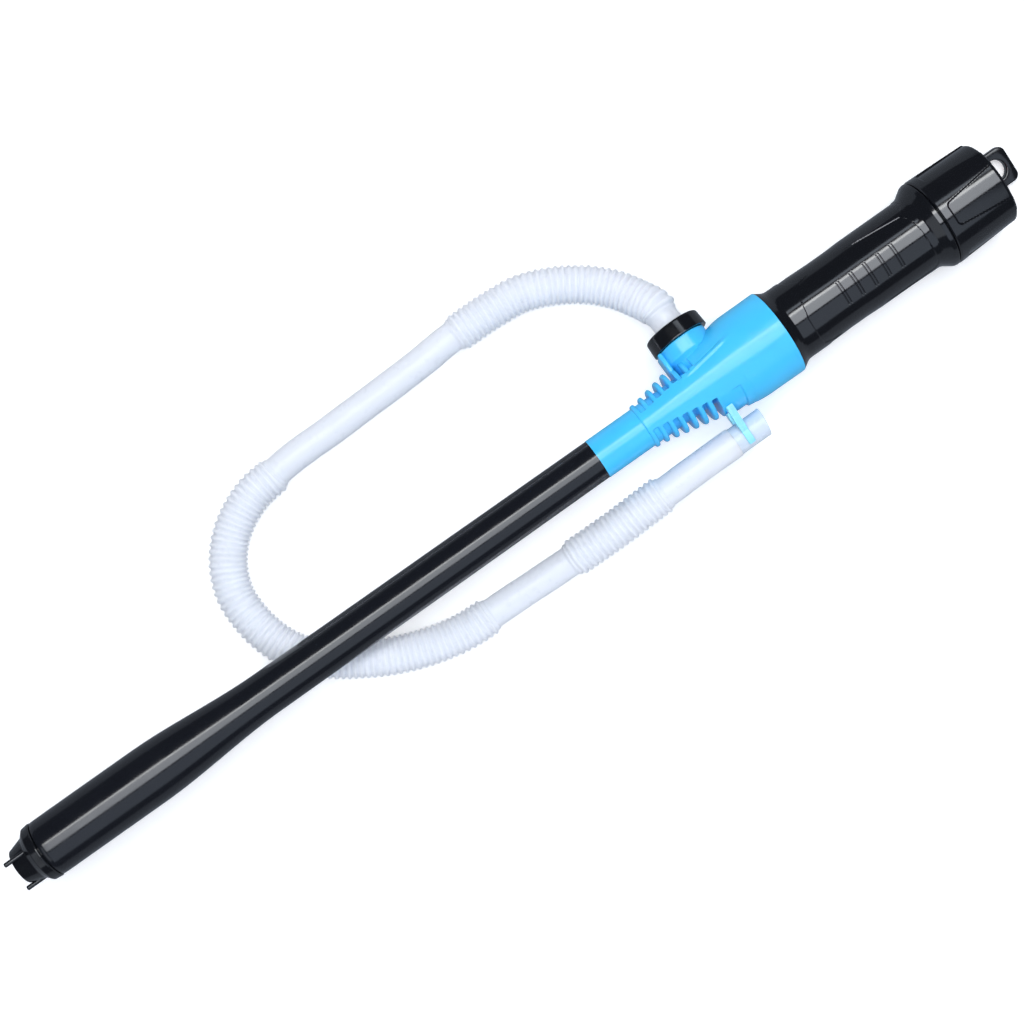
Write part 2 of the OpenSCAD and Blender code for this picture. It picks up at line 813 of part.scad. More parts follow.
module cable_gland() {
    color(soft_black) pump_frame() difference() {
        union() {
            bar(wet_end, rear_at, gland_r - fit);
            bar(rear_at, rear_at + gland_lip_t, gland_r + gland_lip);
        }
        bar(wet_end - over, leads_at, cable_r + press);
    }
}

// A sealing ring in its groove round the battery tube's spigot
module seal_ring_outline(clear) {
    width = 2 * (seal_ring_r + clear);
    translate([tube_spigot_r - seal_squeeze - seal_ring_r, tube_at - seal_ring_at]) {
        if (clear > 0) translate([-width / 2, -width / 2]) square([2 * width, width]);
        if (clear == 0) circle(r = seal_ring_r, $fn = 32);
    }
}

module tube_seal() {
    color(soft_black) pump_frame() rotate([0, 90, 0]) rotate_extrude() seal_ring_outline(0);
}

// Outlet
module outlet_gasket() {
    color(soft_black) outlet_frame()
        washer(neck_end, gasket_t, neck_r - fit, outlet_bore_d / 2);
}

module hose_tail() {
    flange_at = neck_end + gasket_t;
    color(white) outlet_frame() {
        washer(flange_at, tail_flange_t, neck_r - fit, tail_bore_r);
        washer(flange_at, nut_plate_at + tail_len - flange_at, tail_r, tail_bore_r);
    }
}

module nut_washer() {
    color(soft_black) outlet_frame() washer(hose_start, washer_t, neck_r - fit, nut_hole_r);
}

module outlet_nut() {
    round_steps = 6;
    top_r = nut_r - nut_taper;
    color(black) outlet_frame() rotate_extrude() polygon(concat(
        [[nut_in_r, boss_reach + gap], [nut_r, boss_reach + gap]],
        [for (k = [0:round_steps]) let (a = 90 * k / round_steps)
            [top_r - nut_round * (1 - cos(a)), nut_top - nut_round * (1 - sin(a))]],
        [[nut_hole_r, nut_top], [nut_hole_r, nut_plate_at], [nut_in_r, nut_plate_at]]
    ));
}

// Hose
module discharge_hose() {
    fine = concat(
        [for (i = [0:len(hose_route) - 2], t = [0, 0.5]) blend(hose_route, i, t)],
        [hose_route[len(hose_route) - 1]]
    );
    path = [for (p = fine) place(p)];
    rib_height = (hose_d - hose_plain_d) / 2;
    radii = [for (p = fine) hose_plain_d / 2 + rib_height * min(max(p[3], 0), 1)];
    color(milky) sweep(path, radii, hose_sides, [0, 0, 1]);
}

module hose_cuff() {
    color(milky) pump_frame() translate([0, -clip_reach, 0])
        pipe_piece(cuff_at, cuff_at + cuff_len, cuff_d / 2, cuff_bore_d / 2);
}

module hose_clip() {
    side_from = clip_at - clip_w / 2;
    wedge = 2 * clip_out_r;
    color(light_blue) pump_frame() {
        difference() {
            union() {
                translate([0, -clip_reach, 0]) bar(side_from, side_from + clip_w, clip_out_r);
                translate([side_from, -clip_reach, -clip_low])
                    cube([clip_w, clip_reach - clip_foot, clip_low + clip_out_r]);
            }
            translate([0, -clip_reach, 0]) bar(side_from - over, side_from + clip_w + over, clip_r);
            translate([clip_at, -clip_reach, 0]) rotate([0, 90, 0])
                linear_extrude(height = 2 * clip_w, center = true)
                    polygon([[0, 0],
                        [-wedge * sin(clip_open / 2), -wedge * cos(clip_open / 2)],
                        [0, -2 * wedge],
                        [wedge * sin(clip_open / 2), -wedge * cos(clip_open / 2)]]);
        }
        translate([side_from - clip_rib_w, -clip_reach + clip_out_r, -clip_low])
            cube([clip_rib_w, clip_reach - clip_out_r - pad_d / 2 - fit, clip_low]);
    }
}

// Battery tube
module tube_shell() {
    turned([
        [tube_bore_r, tube_at - tube_spigot_len], [tube_spigot_r, tube_at - tube_spigot_len],
        [tube_spigot_r, tube_at], [head_r, tube_at], [grip_r, tube_at + shoulder_len],
        [grip_r, tube_at + waist_from - waist_blend],
        [grip_r - waist_depth, tube_at + waist_from],
        [grip_r - waist_depth, tube_at + waist_from + waist_len],
        [grip_r, tube_at + waist_from + waist_len + waist_blend],
        [grip_r, collar_at - collar_len - collar_slope],
        [collar_r - collar_edge, collar_at - collar_len], [collar_r, collar_at],
        [tube_neck_r, collar_at], [tube_neck_r, tube_end], [tube_bore_r, tube_end]
    ]);
}

module battery_tube() {
    panel_to = collar_at - collar_len - collar_slope - panel_to_collar;
    color(black) pump_frame() {
        difference() {
            tube_shell();
            for (p = [0:panel_count - 1]) {
                turn = grip_turn + 360 * p / panel_count;
                for (g = [0:groove_count - 1], side = [-1, 1]) {
                    at = tube_at + groove_from + g * groove_pitch + side * groove_pair / 2;
                    arc_cut(turn, groove_half, at - groove_w / 2, at + groove_w / 2,
                        grip_r, groove_depth + waist_depth);
                }
                for (at = [tube_at + panel_from, panel_to])
                    arc_cut(turn, panel_half, at - groove_w / 2, at + groove_w / 2,
                        grip_r, groove_depth);
            }
            rotate([0, 90, 0]) rotate_extrude() seal_ring_outline(press);
        }
        for (i = [0:tube_rib_count - 1]) clock(360 * (i + 0.5) / tube_rib_count)
            translate([leaf_at + carrier_t, -tube_rib_w / 2, cell_r + cell_play])
                cube([tube_end - leaf_at - 2 * carrier_t, tube_rib_w,
                    tube_bore_r - cell_r - cell_play + fit]);
    }
}

module contact_carrier() {
    color(white) pump_frame() difference() {
        bar(carrier_at, leaf_at, tube_bore_r - fit);
        bar(carrier_at - over, leaf_at + over, lead_r + lead_off + fit);
        translate([carrier_at - over, -strip_w / 2 - fit, strip_top - strip_t - fit])
            cube([carrier_t + 2 * over, strip_w + 2 * fit, tube_bore_r]);
    }
}

module positive_contact() {
    color(brass) pump_frame() bar(leaf_at, leaf_at + leaf_t, leaf_r);
}

module contact_strip() {
    bend_r = tube_neck_r - strip_top + strip_t - fit;
    color(brass) pump_frame() {
        translate([carrier_at - strip_tab, -strip_w / 2, strip_top - strip_t])
            cube([tube_end + fit - carrier_at + strip_tab, strip_w, strip_t]);
        translate([tube_end + fit, -strip_w / 2, strip_top - strip_t])
            cube([strip_t, strip_w, bend_r]);
    }
}

module lead_red() {
    color(red) pump_frame() translate([0, 0, -lead_off]) bar(leads_at, leaf_at, lead_r);
}

module lead_black() {
    color(soft_black) pump_frame()
        wire([leads_at, 0, lead_off], [carrier_at - strip_tab, 0, strip_top - lead_r], lead_r);
}

module cell(from) {
    to = from + cell_len - fit;
    color(green) pump_frame() turned([
        [0, from], [cell_nub_r, from], [cell_nub_r, from + cell_nub_len],
        [cell_r - cell_rim, from + cell_nub_len], [cell_r, from + cell_nub_len + cell_rim],
        [cell_r, to], [0, to]
    ]);
}

module battery_front() {
    cell(cells_at);
}

module battery_rear() {
    cell(cells_at + cell_len);
}

// End cap
module cap_seal() {
    color(soft_black) pump_frame() pipe_piece(cap_at, cap_at + seal_t, seal_in_r + seal_w, seal_in_r);
}

// A finger recess seen flat: a round start that widens to the open end
recess_outline = function (start, end, length)
    let (slope = atan((end - start) / length), steps = 6, r = recess_corner,
         side_y = start - r + (end - start) * r / length)
    concat(
        [for (k = [0:steps]) let (a = 180 - (90 - slope) * k / steps)
            [r + r * cos(a), side_y + r * sin(a)]],
        [[length + over, end], [length + over, -end]],
        [for (k = [steps:-1:0]) let (a = 180 - (90 - slope) * k / steps)
            [r + r * cos(a), -side_y - r * sin(a)]]
    );

module cap_recess() {
    intersection() {
        difference() {
            bar(cap_at, face_at + over, cap_r + over);
            turned([[0, cap_at - over], [cap_r - recess_depth, cap_at - over],
                [cap_r - recess_depth, cap_at], [cap_end_r - recess_depth, face_at + 2 * over],
                [0, face_at + 2 * over]]);
        }
        translate([cap_at + recess_from, 0, 0]) linear_extrude(height = cap_r + 2 * over)
            polygon(recess_outline(recess_start_w / 2, recess_end_w / 2, cap_len - recess_from));
    }
}

module hanging_loop() {
    straight = cap_face_t + loop_out - loop_corner;
    translate([face_at - cap_face_t, 0, loop_top_r - loop_t]) difference() {
        union() {
            translate([0, -loop_w / 2, 0]) cube([straight, loop_w, loop_t]);
            translate([straight, -loop_w / 2 + loop_corner, 0])
                cube([loop_corner, loop_w - 2 * loop_corner, loop_t]);
            for (side = [-1, 1]) translate([straight, side * (loop_w / 2 - loop_corner), 0])
                cylinder(r = loop_corner, h = loop_t);
        }
        translate([cap_face_t + loop_hole_out, 0, -over])
            cylinder(d = loop_hole_d, h = loop_t + 2 * over);
    }
}

module end_cap() {
    arc_steps = 6;
    seal_seat_r = seal_in_r + seal_w + gap / 2;
    seal_seat_end = cap_at + seal_t + fit;
    color(black) pump_frame() clock(grip_turn) difference() {
        union() {
            turned(concat(
                [[seal_seat_r, cap_at], [cap_r, cap_at]],
                [for (k = [0:arc_steps]) let (a = 90 * k / arc_steps)
                    [cap_end_r - cap_round * (1 - cos(a)), face_at - cap_round * (1 - sin(a))]],
                [[0, face_at], [0, face_at - cap_face_t],
                 [cap_end_r - cap_wall, face_at - cap_face_t],
                 [cap_in_r, ring_seat_at + fit + contact_ring_t],
                 [cap_in_r, seal_seat_end], [seal_seat_r, seal_seat_end]]
            ));
            clock(180 + loop_turn) hanging_loop();
        }
        for (i = [0:recess_count - 1]) clock(360 * i / recess_count) cap_recess();
        bar(face_at - 2 * cap_face_t, face_at + over, switch_r + fit);
    }
}

module cap_contact_ring() {
    color(brass) pump_frame() pipe_piece(ring_seat_at, ring_seat_at + contact_ring_t,
        cap_in_r - fit, switch_r + gap);
}

helix = function (from, to, r_from, r_to, turns, steps) [for (i = [0:steps])
    let (s = i / steps, a = 360 * turns * s, r = r_from + (r_to - r_from) * s)
    [from + (to - from) * s, r * sin(a), r * cos(a)]];

module spring(from, to, r_from, r_to, turns, wire_r) {
    path = helix(from + wire_r, to - wire_r, r_from, r_to, turns, 16 * turns);
    color(steel) pump_frame() sweep(path, [for (p = path) wire_r], 6, [1, 0, 0]);
}

module negative_spring() {
    spring(cells_end, face_at - switch_depth - fit, spring_small_r, spring_large_r,
        spring_turns, spring_wire_r);
}

// Switch
module switch_bezel() {
    color(soft_black) pump_frame() turned([
        [button_r + gap, face_at], [bezel_r, face_at], [bezel_r - bezel_t / 2, face_at + bezel_t],
        [button_r + gap, face_at + bezel_t]
    ]);
}

module switch_body() {
    color(soft_black) pump_frame() turned([
        [0, face_at - switch_depth], [switch_r, face_at - switch_depth], [switch_r, face_at],
        [switch_in_r, face_at], [switch_in_r, face_at - switch_depth + switch_floor_t],
        [0, face_at - switch_depth + switch_floor_t]
    ]);
}

module switch_button() {
    top = face_at + button_proud;
    low = top - button_len;
    flange_top = face_at - fit;
    flange_low = flange_top - button_flange_t;
    color(red) pump_frame() turned([
        [0, low], [button_stem_r, low], [button_stem_r, top - button_skirt],
        [button_r - button_skirt, top - button_skirt], [button_r - button_skirt, low],
        [button_r, low], [button_r, flange_low], [button_r + button_flange, flange_low],
        [button_r + button_flange, flange_top], [button_r, flange_top],
        [button_r, top - edge_round], [button_r - edge_round, top - edge_round / 4],
        [button_r / 2, top], [0, top]
    ]);
}

module switch_spring() {
    spring(face_at - switch_depth + switch_floor_t + fit,
        face_at + button_proud - button_skirt - fit,
        switch_spring_r, switch_spring_r, switch_turns, switch_wire_r);
}

suction_pipe();
intake_cap();
impeller();
motor_shaft();
motor_armature();
motor_housing();
housing_cap();
shaft_seal();
motor_can();
motor_magnets();
motor_end_bell();
motor_terminals();
motor_bearings();
motor_leads();
motor_cable();
pump_head();
cable_gland();
tube_seal();
outlet_gasket();
hose_tail();
nut_washer();
outlet_nut();
discharge_hose();
hose_cuff();
hose_clip();
battery_tube();
contact_carrier();
positive_contact();
contact_strip();
lead_red();
lead_black();
battery_front();
battery_rear();
cap_seal();
end_cap();
cap_contact_ring();
negative_spring();
switch_bezel();
switch_body();
switch_button();
switch_spring();
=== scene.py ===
import math

import bmesh
import bpy
import numpy as np
from mathutils import Matrix, Vector


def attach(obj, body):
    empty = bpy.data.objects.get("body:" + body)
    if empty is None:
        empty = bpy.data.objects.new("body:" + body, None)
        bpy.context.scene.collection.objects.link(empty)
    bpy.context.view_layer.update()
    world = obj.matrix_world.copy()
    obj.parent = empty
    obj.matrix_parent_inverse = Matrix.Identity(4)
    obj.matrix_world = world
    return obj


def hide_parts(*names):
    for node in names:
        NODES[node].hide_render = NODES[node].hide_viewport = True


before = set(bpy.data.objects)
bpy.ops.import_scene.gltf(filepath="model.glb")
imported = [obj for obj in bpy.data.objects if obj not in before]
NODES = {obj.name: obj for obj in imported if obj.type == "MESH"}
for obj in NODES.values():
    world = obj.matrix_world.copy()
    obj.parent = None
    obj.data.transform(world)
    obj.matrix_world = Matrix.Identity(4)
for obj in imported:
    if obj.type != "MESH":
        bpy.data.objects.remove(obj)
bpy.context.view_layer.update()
MM = 0.001

# Stations along the pump, in mm from the tip of the nose, as in part.scad
PIPE_AT, HEAD_AT, RING_AT, OUTLET_AT, TUBE_AT = 18.1, 387.1, 419.0, 462.75, 508.9
COLLAR_AT, CAP_AT, FACE_AT = 612.9, 613.2, 652.5
CLIP_AT, CUFF_AT = OUTLET_AT - 1.2, OUTLET_AT - 8.7

# The pump lies on its collar and on its hose, so its axis leans a little
LEAN = math.radians(1.0739912761)
NOSE = np.array([-336.0, -2.0014423, 38.3888414])
ALONG = np.array([math.cos(LEAN), 0.0, -math.sin(LEAN)])
ACROSS = np.array([0.0, 1.0, 0.0])
ABOVE = np.array([math.sin(LEAN), 0.0, math.cos(LEAN)])


def pump(points):
    """Rows of (along, across, above) in mm from the tip of the nose, in the row frame in metres."""
    p = np.atleast_2d(np.asarray(points, float))
    return (NOSE + p[:, :1] * ALONG + p[:, 1:2] * ACROSS + p[:, 2:3] * ABOVE) * MM


# The outlet's axis: out to the side and a little down
DIP = math.radians(9.0)
OUTLET_DIR = math.cos(DIP) * ACROSS - math.sin(DIP) * ABOVE
OUTLET_UP = math.sin(DIP) * ACROSS + math.cos(DIP) * ABOVE
OUTLET_BASE = NOSE + OUTLET_AT * ALONG


def outlet(points):
    """Rows of (out along the outlet, along the pump, above) in mm, in the row frame in metres."""
    p = np.atleast_2d(np.asarray(points, float))
    return (OUTLET_BASE + p[:, :1] * OUTLET_DIR + p[:, 1:2] * ALONG + p[:, 2:3] * OUTLET_UP) * MM


# Camera: straight down over the pump, turned as the photograph is
TURN = math.radians(35.2274)
CAMERA_AT = (-0.0049, 0.0004, 1.170)
cam_data = bpy.data.cameras.new("view_camera")
cam_data.lens = 72.42
cam_data.sensor_width = 36.0
cam_data.clip_start = 0.05
cam_data.clip_end = 60.0
camera = bpy.data.objects.new("view_camera", cam_data)
bpy.context.scene.collection.objects.link(camera)
right = Vector((math.cos(TURN), -math.sin(TURN), 0.0))
up = Vector((math.sin(TURN), math.cos(TURN), 0.0))
camera.matrix_world = Matrix((
    (right.x, up.x, 0.0, CAMERA_AT[0]),
    (right.y, up.y, 0.0, CAMERA_AT[1]),
    (right.z, up.z, 1.0, CAMERA_AT[2]),
    (0.0, 0.0, 0.0, 1.0),
))
bpy.context.scene.camera = camera


# Mesh helpers. Edges sharper than these angles, in degrees, are shaded as edges
SHARP_FINE, SHARP, SHARP_TURNED = 36, 38, 40
NEARLY_STRAIGHT = math.radians(89)
END_SHARE = 0.001


def mesh_object(name, verts, faces, sharp=None):
    """A shaded mesh object from points in metres and equal faces, which are turned to face outward."""
    verts = np.asarray(verts, np.float32)
    faces = np.asarray(faces, np.int32)
    size = faces.shape[1]
    corners = (verts - verts.mean(axis=0)).astype(float)[faces]
    volume = sum(np.einsum("ij,ij->", corners[:, 0], np.cross(corners[:, k], corners[:, k + 1]))
                 for k in range(1, size - 1))
    if volume < 0:
        faces = faces[:, ::-1].copy()
    mesh = bpy.data.meshes.new(name)
    mesh.vertices.add(len(verts))
    mesh.vertices.foreach_set("co", verts.ravel())
    mesh.loops.add(faces.size)
    mesh.loops.foreach_set("vertex_index", faces.ravel())
    mesh.polygons.add(len(faces))
    mesh.polygons.foreach_set("loop_start", np.arange(len(faces), dtype=np.int32) * size)
    mesh.polygons.foreach_set("loop_total", np.full(len(faces), size, np.int32))
    mesh.update(calc_edges=True)
    mesh.validate()
    mesh.polygons.foreach_set("use_smooth", np.ones(len(mesh.polygons), bool))
    if sharp:
        mesh.set_sharp_from_angle(angle=math.radians(sharp))
    obj = bpy.data.objects.new(name, mesh)
    bpy.context.scene.collection.objects.link(obj)
    return obj


def ring_faces(rows, columns, closed):
    """Quads over a grid of rows of points that each run round a ring."""
    last = rows if closed else rows - 1
    i = np.arange(last)[:, None]
    j = np.arange(columns)[None, :]
    a = i * columns + j
    b = i * columns + (j + 1) % columns
    c = ((i + 1) % rows) * columns + (j + 1) % columns
    d = ((i + 1) % rows) * columns + j
    return np.stack([a, b, c, d], axis=-1).reshape(-1, 4)


def rounded_corner(before, p, after, rounding):
    """The points of an arc that rounds off the corner p between its two neighbours."""
    a, b = before - p, after - p
    la, lb = np.linalg.norm(a), np.linalg.norm(b)
    a, b = a / la, b / lb
    half = math.acos(max(-1.0, min(1.0, float(a @ b)))) / 2
    if half > NEARLY_STRAIGHT:
        return [p]
    # the arc takes up no more than about half of either side
    back = min(rounding / math.tan(half), 0.49 * la, 0.49 * lb)
    radius = back * math.tan(half)
    mid = (a + b) / np.linalg.norm(a + b)
    centre = p + mid * radius / math.sin(half)
    start, end = p + a * back - centre, p + b * back - centre
    sweep = math.pi - 2 * half
    side = math.copysign(1.0, start[0] * end[1] - start[1] * end[0])
    steps = max(3, int(math.degrees(sweep) / 12))
    arc = []
    for i in range(steps + 1):
        t = side * sweep * i / steps
        c, s = math.cos(t), math.sin(t)
        arc.append(centre + np.array([start[0] * c - start[1] * s, start[0] * s + start[1] * c]))
    return arc


def outline(corners, step=1.0, closed=True):
    """A turned piece's outline: corners (along, radius, rounding), rounded and cut into short steps."""
    points = [np.array(corner[:2], float) for corner in corners]
    line = []
    for k, corner in enumerate(corners):
        rounding = corner[2] if len(corner) > 2 else 0.0
        open_end = not closed and k in (0, len(corners) - 1)
        if open_end or rounding <= 0:
            line.append(points[k])
        else:
            line += rounded_corner(points[k - 1], points[k], points[(k + 1) % len(points)], rounding)
    if closed:
        line.append(line[0])
    fine = []
    for a, b in zip(line[:-1], line[1:]):
        n = max(1, int(math.ceil(np.linalg.norm(b - a) / step)))
        fine += [a + (b - a) * i / n for i in range(n)]
    if not closed:
        fine.append(line[-1])
    return np.array(fine)


def turned(name, line, place, columns=96, closed=True, shape=None, sharp=SHARP_TURNED):
    """A piece turned about the axis that place gives.

    What isn't round comes from shape(along, angle, radius), which gives the radius anew.
    """
    angles = np.arange(columns) * 2 * math.pi / columns
    u = np.repeat(line[:, :1], columns, axis=1)
    r = np.repeat(line[:, 1:2], columns, axis=1)
    phi = np.repeat(angles[None, :], len(line), axis=0)
    if shape is not None:
        r = shape(u, phi, r)
    points = np.stack([u, r * np.sin(phi), r * np.cos(phi)], axis=-1).reshape(-1, 3)
    return mesh_object(name, place(points), ring_faces(len(line), columns, closed), sharp)


def lofted(name, rings, sharp=None):
    """A tube through rings of points, closed at each end by a very small ring."""
    near_mid = rings[:1].mean(axis=1, keepdims=True)
    far_mid = rings[-1:].mean(axis=1, keepdims=True)
    near = near_mid + (rings[:1] - near_mid) * END_SHARE
    far = far_mid + (rings[-1:] - far_mid) * END_SHARE
    rings = np.concatenate([near, rings, far])
    faces = ring_faces(rings.shape[0], rings.shape[1], False)
    return mesh_object(name, rings.reshape(-1, 3), faces, sharp)


def bevelled(name, bm, rounding, place):
    """The form in a bmesh with its edges rounded, set by place."""
    bmesh.ops.bevel(bm, geom=list(bm.edges), offset=rounding, segments=3, profile=0.5, affect="EDGES")
    bmesh.ops.triangulate(bm, faces=list(bm.faces))
    points = np.array([v.co[:] for v in bm.verts])
    faces = np.array([[v.index for v in f.verts] for f in bm.faces])
    bm.free()
    return mesh_object(name, place(points), faces, SHARP)


def smooth_step(x):
    """From 0 to 1 in an S, flat outside."""
    x = np.clip(x, 0.0, 1.0)
    return x * x * (3 - 2 * x)


def rises(x, start, over):
    """0 up to start, and 1 from that far past it on."""
    return smooth_step((x - start) / over)


def falls(x, end, over):
    """1 until that far before the end, and 0 past it."""
    return smooth_step((end - x) / over)


def soft_min(a, b, k):
    """The lesser of two values, with a fillet of about k where they meet."""
    h = np.clip(0.5 + 0.5 * (b - a) / k, 0.0, 1.0)
    return b * (1 - h) + a * h - k * h * (1 - h)


def soft_max(a, b, k):
    return -soft_min(-a, -b, k)


def wrap(angle):
    """An angle brought to between minus and plus half a turn."""
    return (angle + math.pi) % (2 * math.pi) - math.pi


def turned_about(points, angle):
    """Rows of (along, across, above), turned about the pump's axis."""
    c, s = math.cos(angle), math.sin(angle)
    y, z = points[:, 1], points[:, 2]
    return np.stack([points[:, 0], y * c + z * s, z * c - y * s], axis=1)


# Materials, all from nodes, in the object's own coordinates
MATERIALS = {}
NOISE_SPAN = (0.3, 0.7)
EDGE_SPAN = (0.52, 0.62)
BUMP_DISTANCE = 0.00004


def map_range(tree, source, span, to_low, to_high):
    """A Map Range node from one span of a value to another."""
    node = tree.nodes.new("ShaderNodeMapRange")
    node.inputs["From Min"].default_value, node.inputs["From Max"].default_value = span
    node.inputs["To Min"].default_value = to_low
    node.inputs["To Max"].default_value = to_high
    tree.links.new(source, node.inputs["Value"])
    return node


def mixed(tree, factor, a, b):
    """A colour between a, a colour or a socket, and the colour b."""
    mix = tree.nodes.new("ShaderNodeMix")
    mix.data_type = "RGBA"
    tree.links.new(factor, mix.inputs["Factor"])
    if isinstance(a, tuple):
        mix.inputs["A"].default_value = a
    else:
        tree.links.new(a, mix.inputs["A"])
    mix.inputs["B"].default_value = b
    return mix.outputs["Result"]


def shifted(colour, factor, lift=0.0):
    """A colour made darker or lighter within 0 and 1, with its alpha."""
    return tuple(min(1.0, max(0.0, c * factor + lift)) for c in colour) + (1.0,)


def plastic(name, colour, rough, spread=0.04, tint=0.06, bump=0.15, grain=900.0, blotch=60.0,
            wear=0.0, **sockets):
    """A moulded surface: its colour and roughness drift a little, with a fine bump and rubbed edges."""
    mat = bpy.data.materials.new(name)
    mat.use_nodes = True
    tree = mat.node_tree
    nodes, links = tree.nodes, tree.links
    nodes.clear()
    out = nodes.new("ShaderNodeOutputMaterial")
    bsdf = nodes.new("ShaderNodeBsdfPrincipled")
    links.new(bsdf.outputs["BSDF"], out.inputs["Surface"])
    where = nodes.new("ShaderNodeTexCoord")

    def noise(scale, detail, roughness=0.5):
        node = nodes.new("ShaderNodeTexNoise")
        node.inputs["Scale"].default_value = scale
        node.inputs["Detail"].default_value = detail
        node.inputs["Roughness"].default_value = roughness
        links.new(where.outputs["Object"], node.inputs["Vector"])
        return node.outputs["Fac"]

    drift = map_range(tree, noise(blotch, 4.0), NOISE_SPAN, 0.0, 1.0)
    shade = mixed(tree, drift.outputs["Result"], shifted(colour, 1 - tint), shifted(colour, 1 + tint))
    if wear > 0:
        edge = nodes.new("ShaderNodeNewGeometry")
        rubbed = map_range(tree, edge.outputs["Pointiness"], EDGE_SPAN, 0.0, wear)
        shade = mixed(tree, rubbed.outputs["Result"], shade, shifted(colour, 1.3, 0.03))
    links.new(shade, bsdf.inputs["Base Color"])
    smear = map_range(tree, noise(blotch * 3.1, 6.0, 0.6), NOISE_SPAN,
                      max(0.02, rough - spread), rough + spread)
    links.new(smear.outputs["Result"], bsdf.inputs["Roughness"])
    relief = nodes.new("ShaderNodeBump")
    relief.inputs["Strength"].default_value = bump
    relief.inputs["Distance"].default_value = BUMP_DISTANCE
    links.new(noise(grain, 3.0), relief.inputs["Height"])
    links.new(relief.outputs["Normal"], bsdf.inputs["Normal"])
    for key, value in sockets.items():
        bsdf.inputs[key.replace("_", " ")].default_value = value
    MATERIALS[name] = mat


def give(obj, name):
    """Gives an object one material in place of any that it has."""
    obj.data.materials.clear()
    obj.data.materials.append(MATERIALS[name])


plastic("black_gloss", (0.0038, 0.0044, 0.006), 0.12, spread=0.03, bump=0.05, grain=700, blotch=45,
        wear=0.05, IOR=1.68)
plastic("black_pipe", (0.0055, 0.0065, 0.0095), 0.16, spread=0.04, bump=0.06, grain=900, blotch=30,
        wear=0.05, IOR=1.6)
plastic("black_satin", (0.016, 0.016, 0.018), 0.38, spread=0.06, bump=0.3, grain=1500, wear=0.08)
plastic("blue_plastic", (0.065, 0.555, 0.98), 0.2, spread=0.04, tint=0.03, bump=0.05, grain=650,
        blotch=40, wear=0.10, Subsurface_Weight=0.10, Subsurface_Scale=0.002)
plastic("clip_plastic", (0.33, 0.80, 0.98), 0.3, spread=0.05, tint=0.03, bump=0.1, wear=0.10,
        Subsurface_Weight=0.3, Subsurface_Scale=0.003)
plastic("red_plastic", (0.62, 0.018, 0.02), 0.3, spread=0.05, bump=0.2, wear=0.1)
plastic("button_plastic", (0.70, 0.030, 0.028), 0.3, spread=0.05, bump=0.2, wear=0.1)
plastic("white_plastic", (0.80, 0.80, 0.78), 0.4, bump=0.2)
plastic("letter_paint", (0.88, 0.86, 0.84), 0.45, bump=0.1)
# The hose and its cuff are milky: light spreads a few millimetres in them
plastic("hose_plastic", (0.80, 0.82, 0.87), 0.3, spread=0.05, tint=0.012, bump=0.04, grain=500,
        blotch=70, Subsurface_Weight=0.8, Subsurface_Radius=(1.0, 1.0, 1.0), Subsurface_Scale=0.004,
        Specular_IOR_Level=0.35)
plastic("cuff_plastic", (0.69, 0.77, 0.89), 0.25, spread=0.05, tint=0.012, bump=0.04, grain=500,
        blotch=70, Subsurface_Weight=0.5, Subsurface_Radius=(1.0, 1.0, 1.0), Subsurface_Scale=0.003)
plastic("black_rubber", (0.018, 0.018, 0.018), 0.65, bump=0.4, grain=1800)
plastic("steel", (0.55, 0.55, 0.57), 0.28, Metallic=1.0, bump=0.2)
plastic("copper", (0.62, 0.30, 0.14), 0.35, Metallic=1.0, bump=0.5, grain=1600)
plastic("magnet", (0.06, 0.06, 0.065), 0.5, bump=0.5)
plastic("brass", (0.76, 0.58, 0.28), 0.25, Metallic=1.0, bump=0.2)
plastic("red_wire", (0.55, 0.02, 0.02), 0.4)
plastic("black_wire", (0.02, 0.02, 0.02), 0.4)
plastic("battery_jacket", (0.04, 0.22, 0.10), 0.3, bump=0.1)

# Hose: the same points as in part.scad, in mm from the outlet, from the axis and off the ground,
# and last the share of the ribbed radius, from 0 where it is plain to 1 where it is ribbed
ground_route = [
    [-5.5, 61, 6, 1], [-11.5, 71, 2.5, 1], [-19, 79.5, 0.5, 1], [-32, 89.5, 0, 1],
    [-44, 96, 0, 1], [-56, 100.5, 0, 1], [-73, 102.5, 0, 1], [-98, 103, 0, 1],
    [-101, 103, 0, 0], [-123, 101.5, 0, 0], [-183, 99.5, 0, 0], [-225, 98, 0, 0],
    [-228, 97.5, 0, 1], [-241, 96, 0, 1], [-256, 90.5, 0, 1], [-269, 81.5, 0, 1],
    [-278.5, 69.5, 0, 1], [-284, 55, 0, 1], [-284.5, 40, 0, 1], [-281.5, 24, 0, 1],
    [-275, 9.5, 0, 1], [-264, -3, 0, 1], [-248, -14.5, 0, 1], [-230, -24.5, 0, 1],
    [-211, -31.5, 0, 1], [-193, -35.5, 0, 1], [-175.5, -36.5, 0, 1], [-172.5, -36.5, 0, 0],
    [-120, -37.5, 5, 0], [-117, -37.5, 5.5, 1], [-90, -37.5, 10, 1], [-58, -36.5, 15.5, 1],
    [-55, -36.5, 16, 0], [-37, -36, 18, 0],
]
HOSE_R, PLAIN_R = 11.0, 8.7
CLIP_REACH = 35.8
RIB_PITCH, RIB_DEEP = 3.4, 1.15
# On the tail the hose is a little wider than its plain stretches, up to where its ribs begin
TAIL_SHARE = 0.2609
STEPS_PER_KNOT, HOSE_STEP, HOSE_COLUMNS = 24, 0.42, 40


def row(place, point, share):
    """A point of the hose's route, in mm, with its share of the ribbed radius."""
    return list(place([point])[0] / MM) + [share]


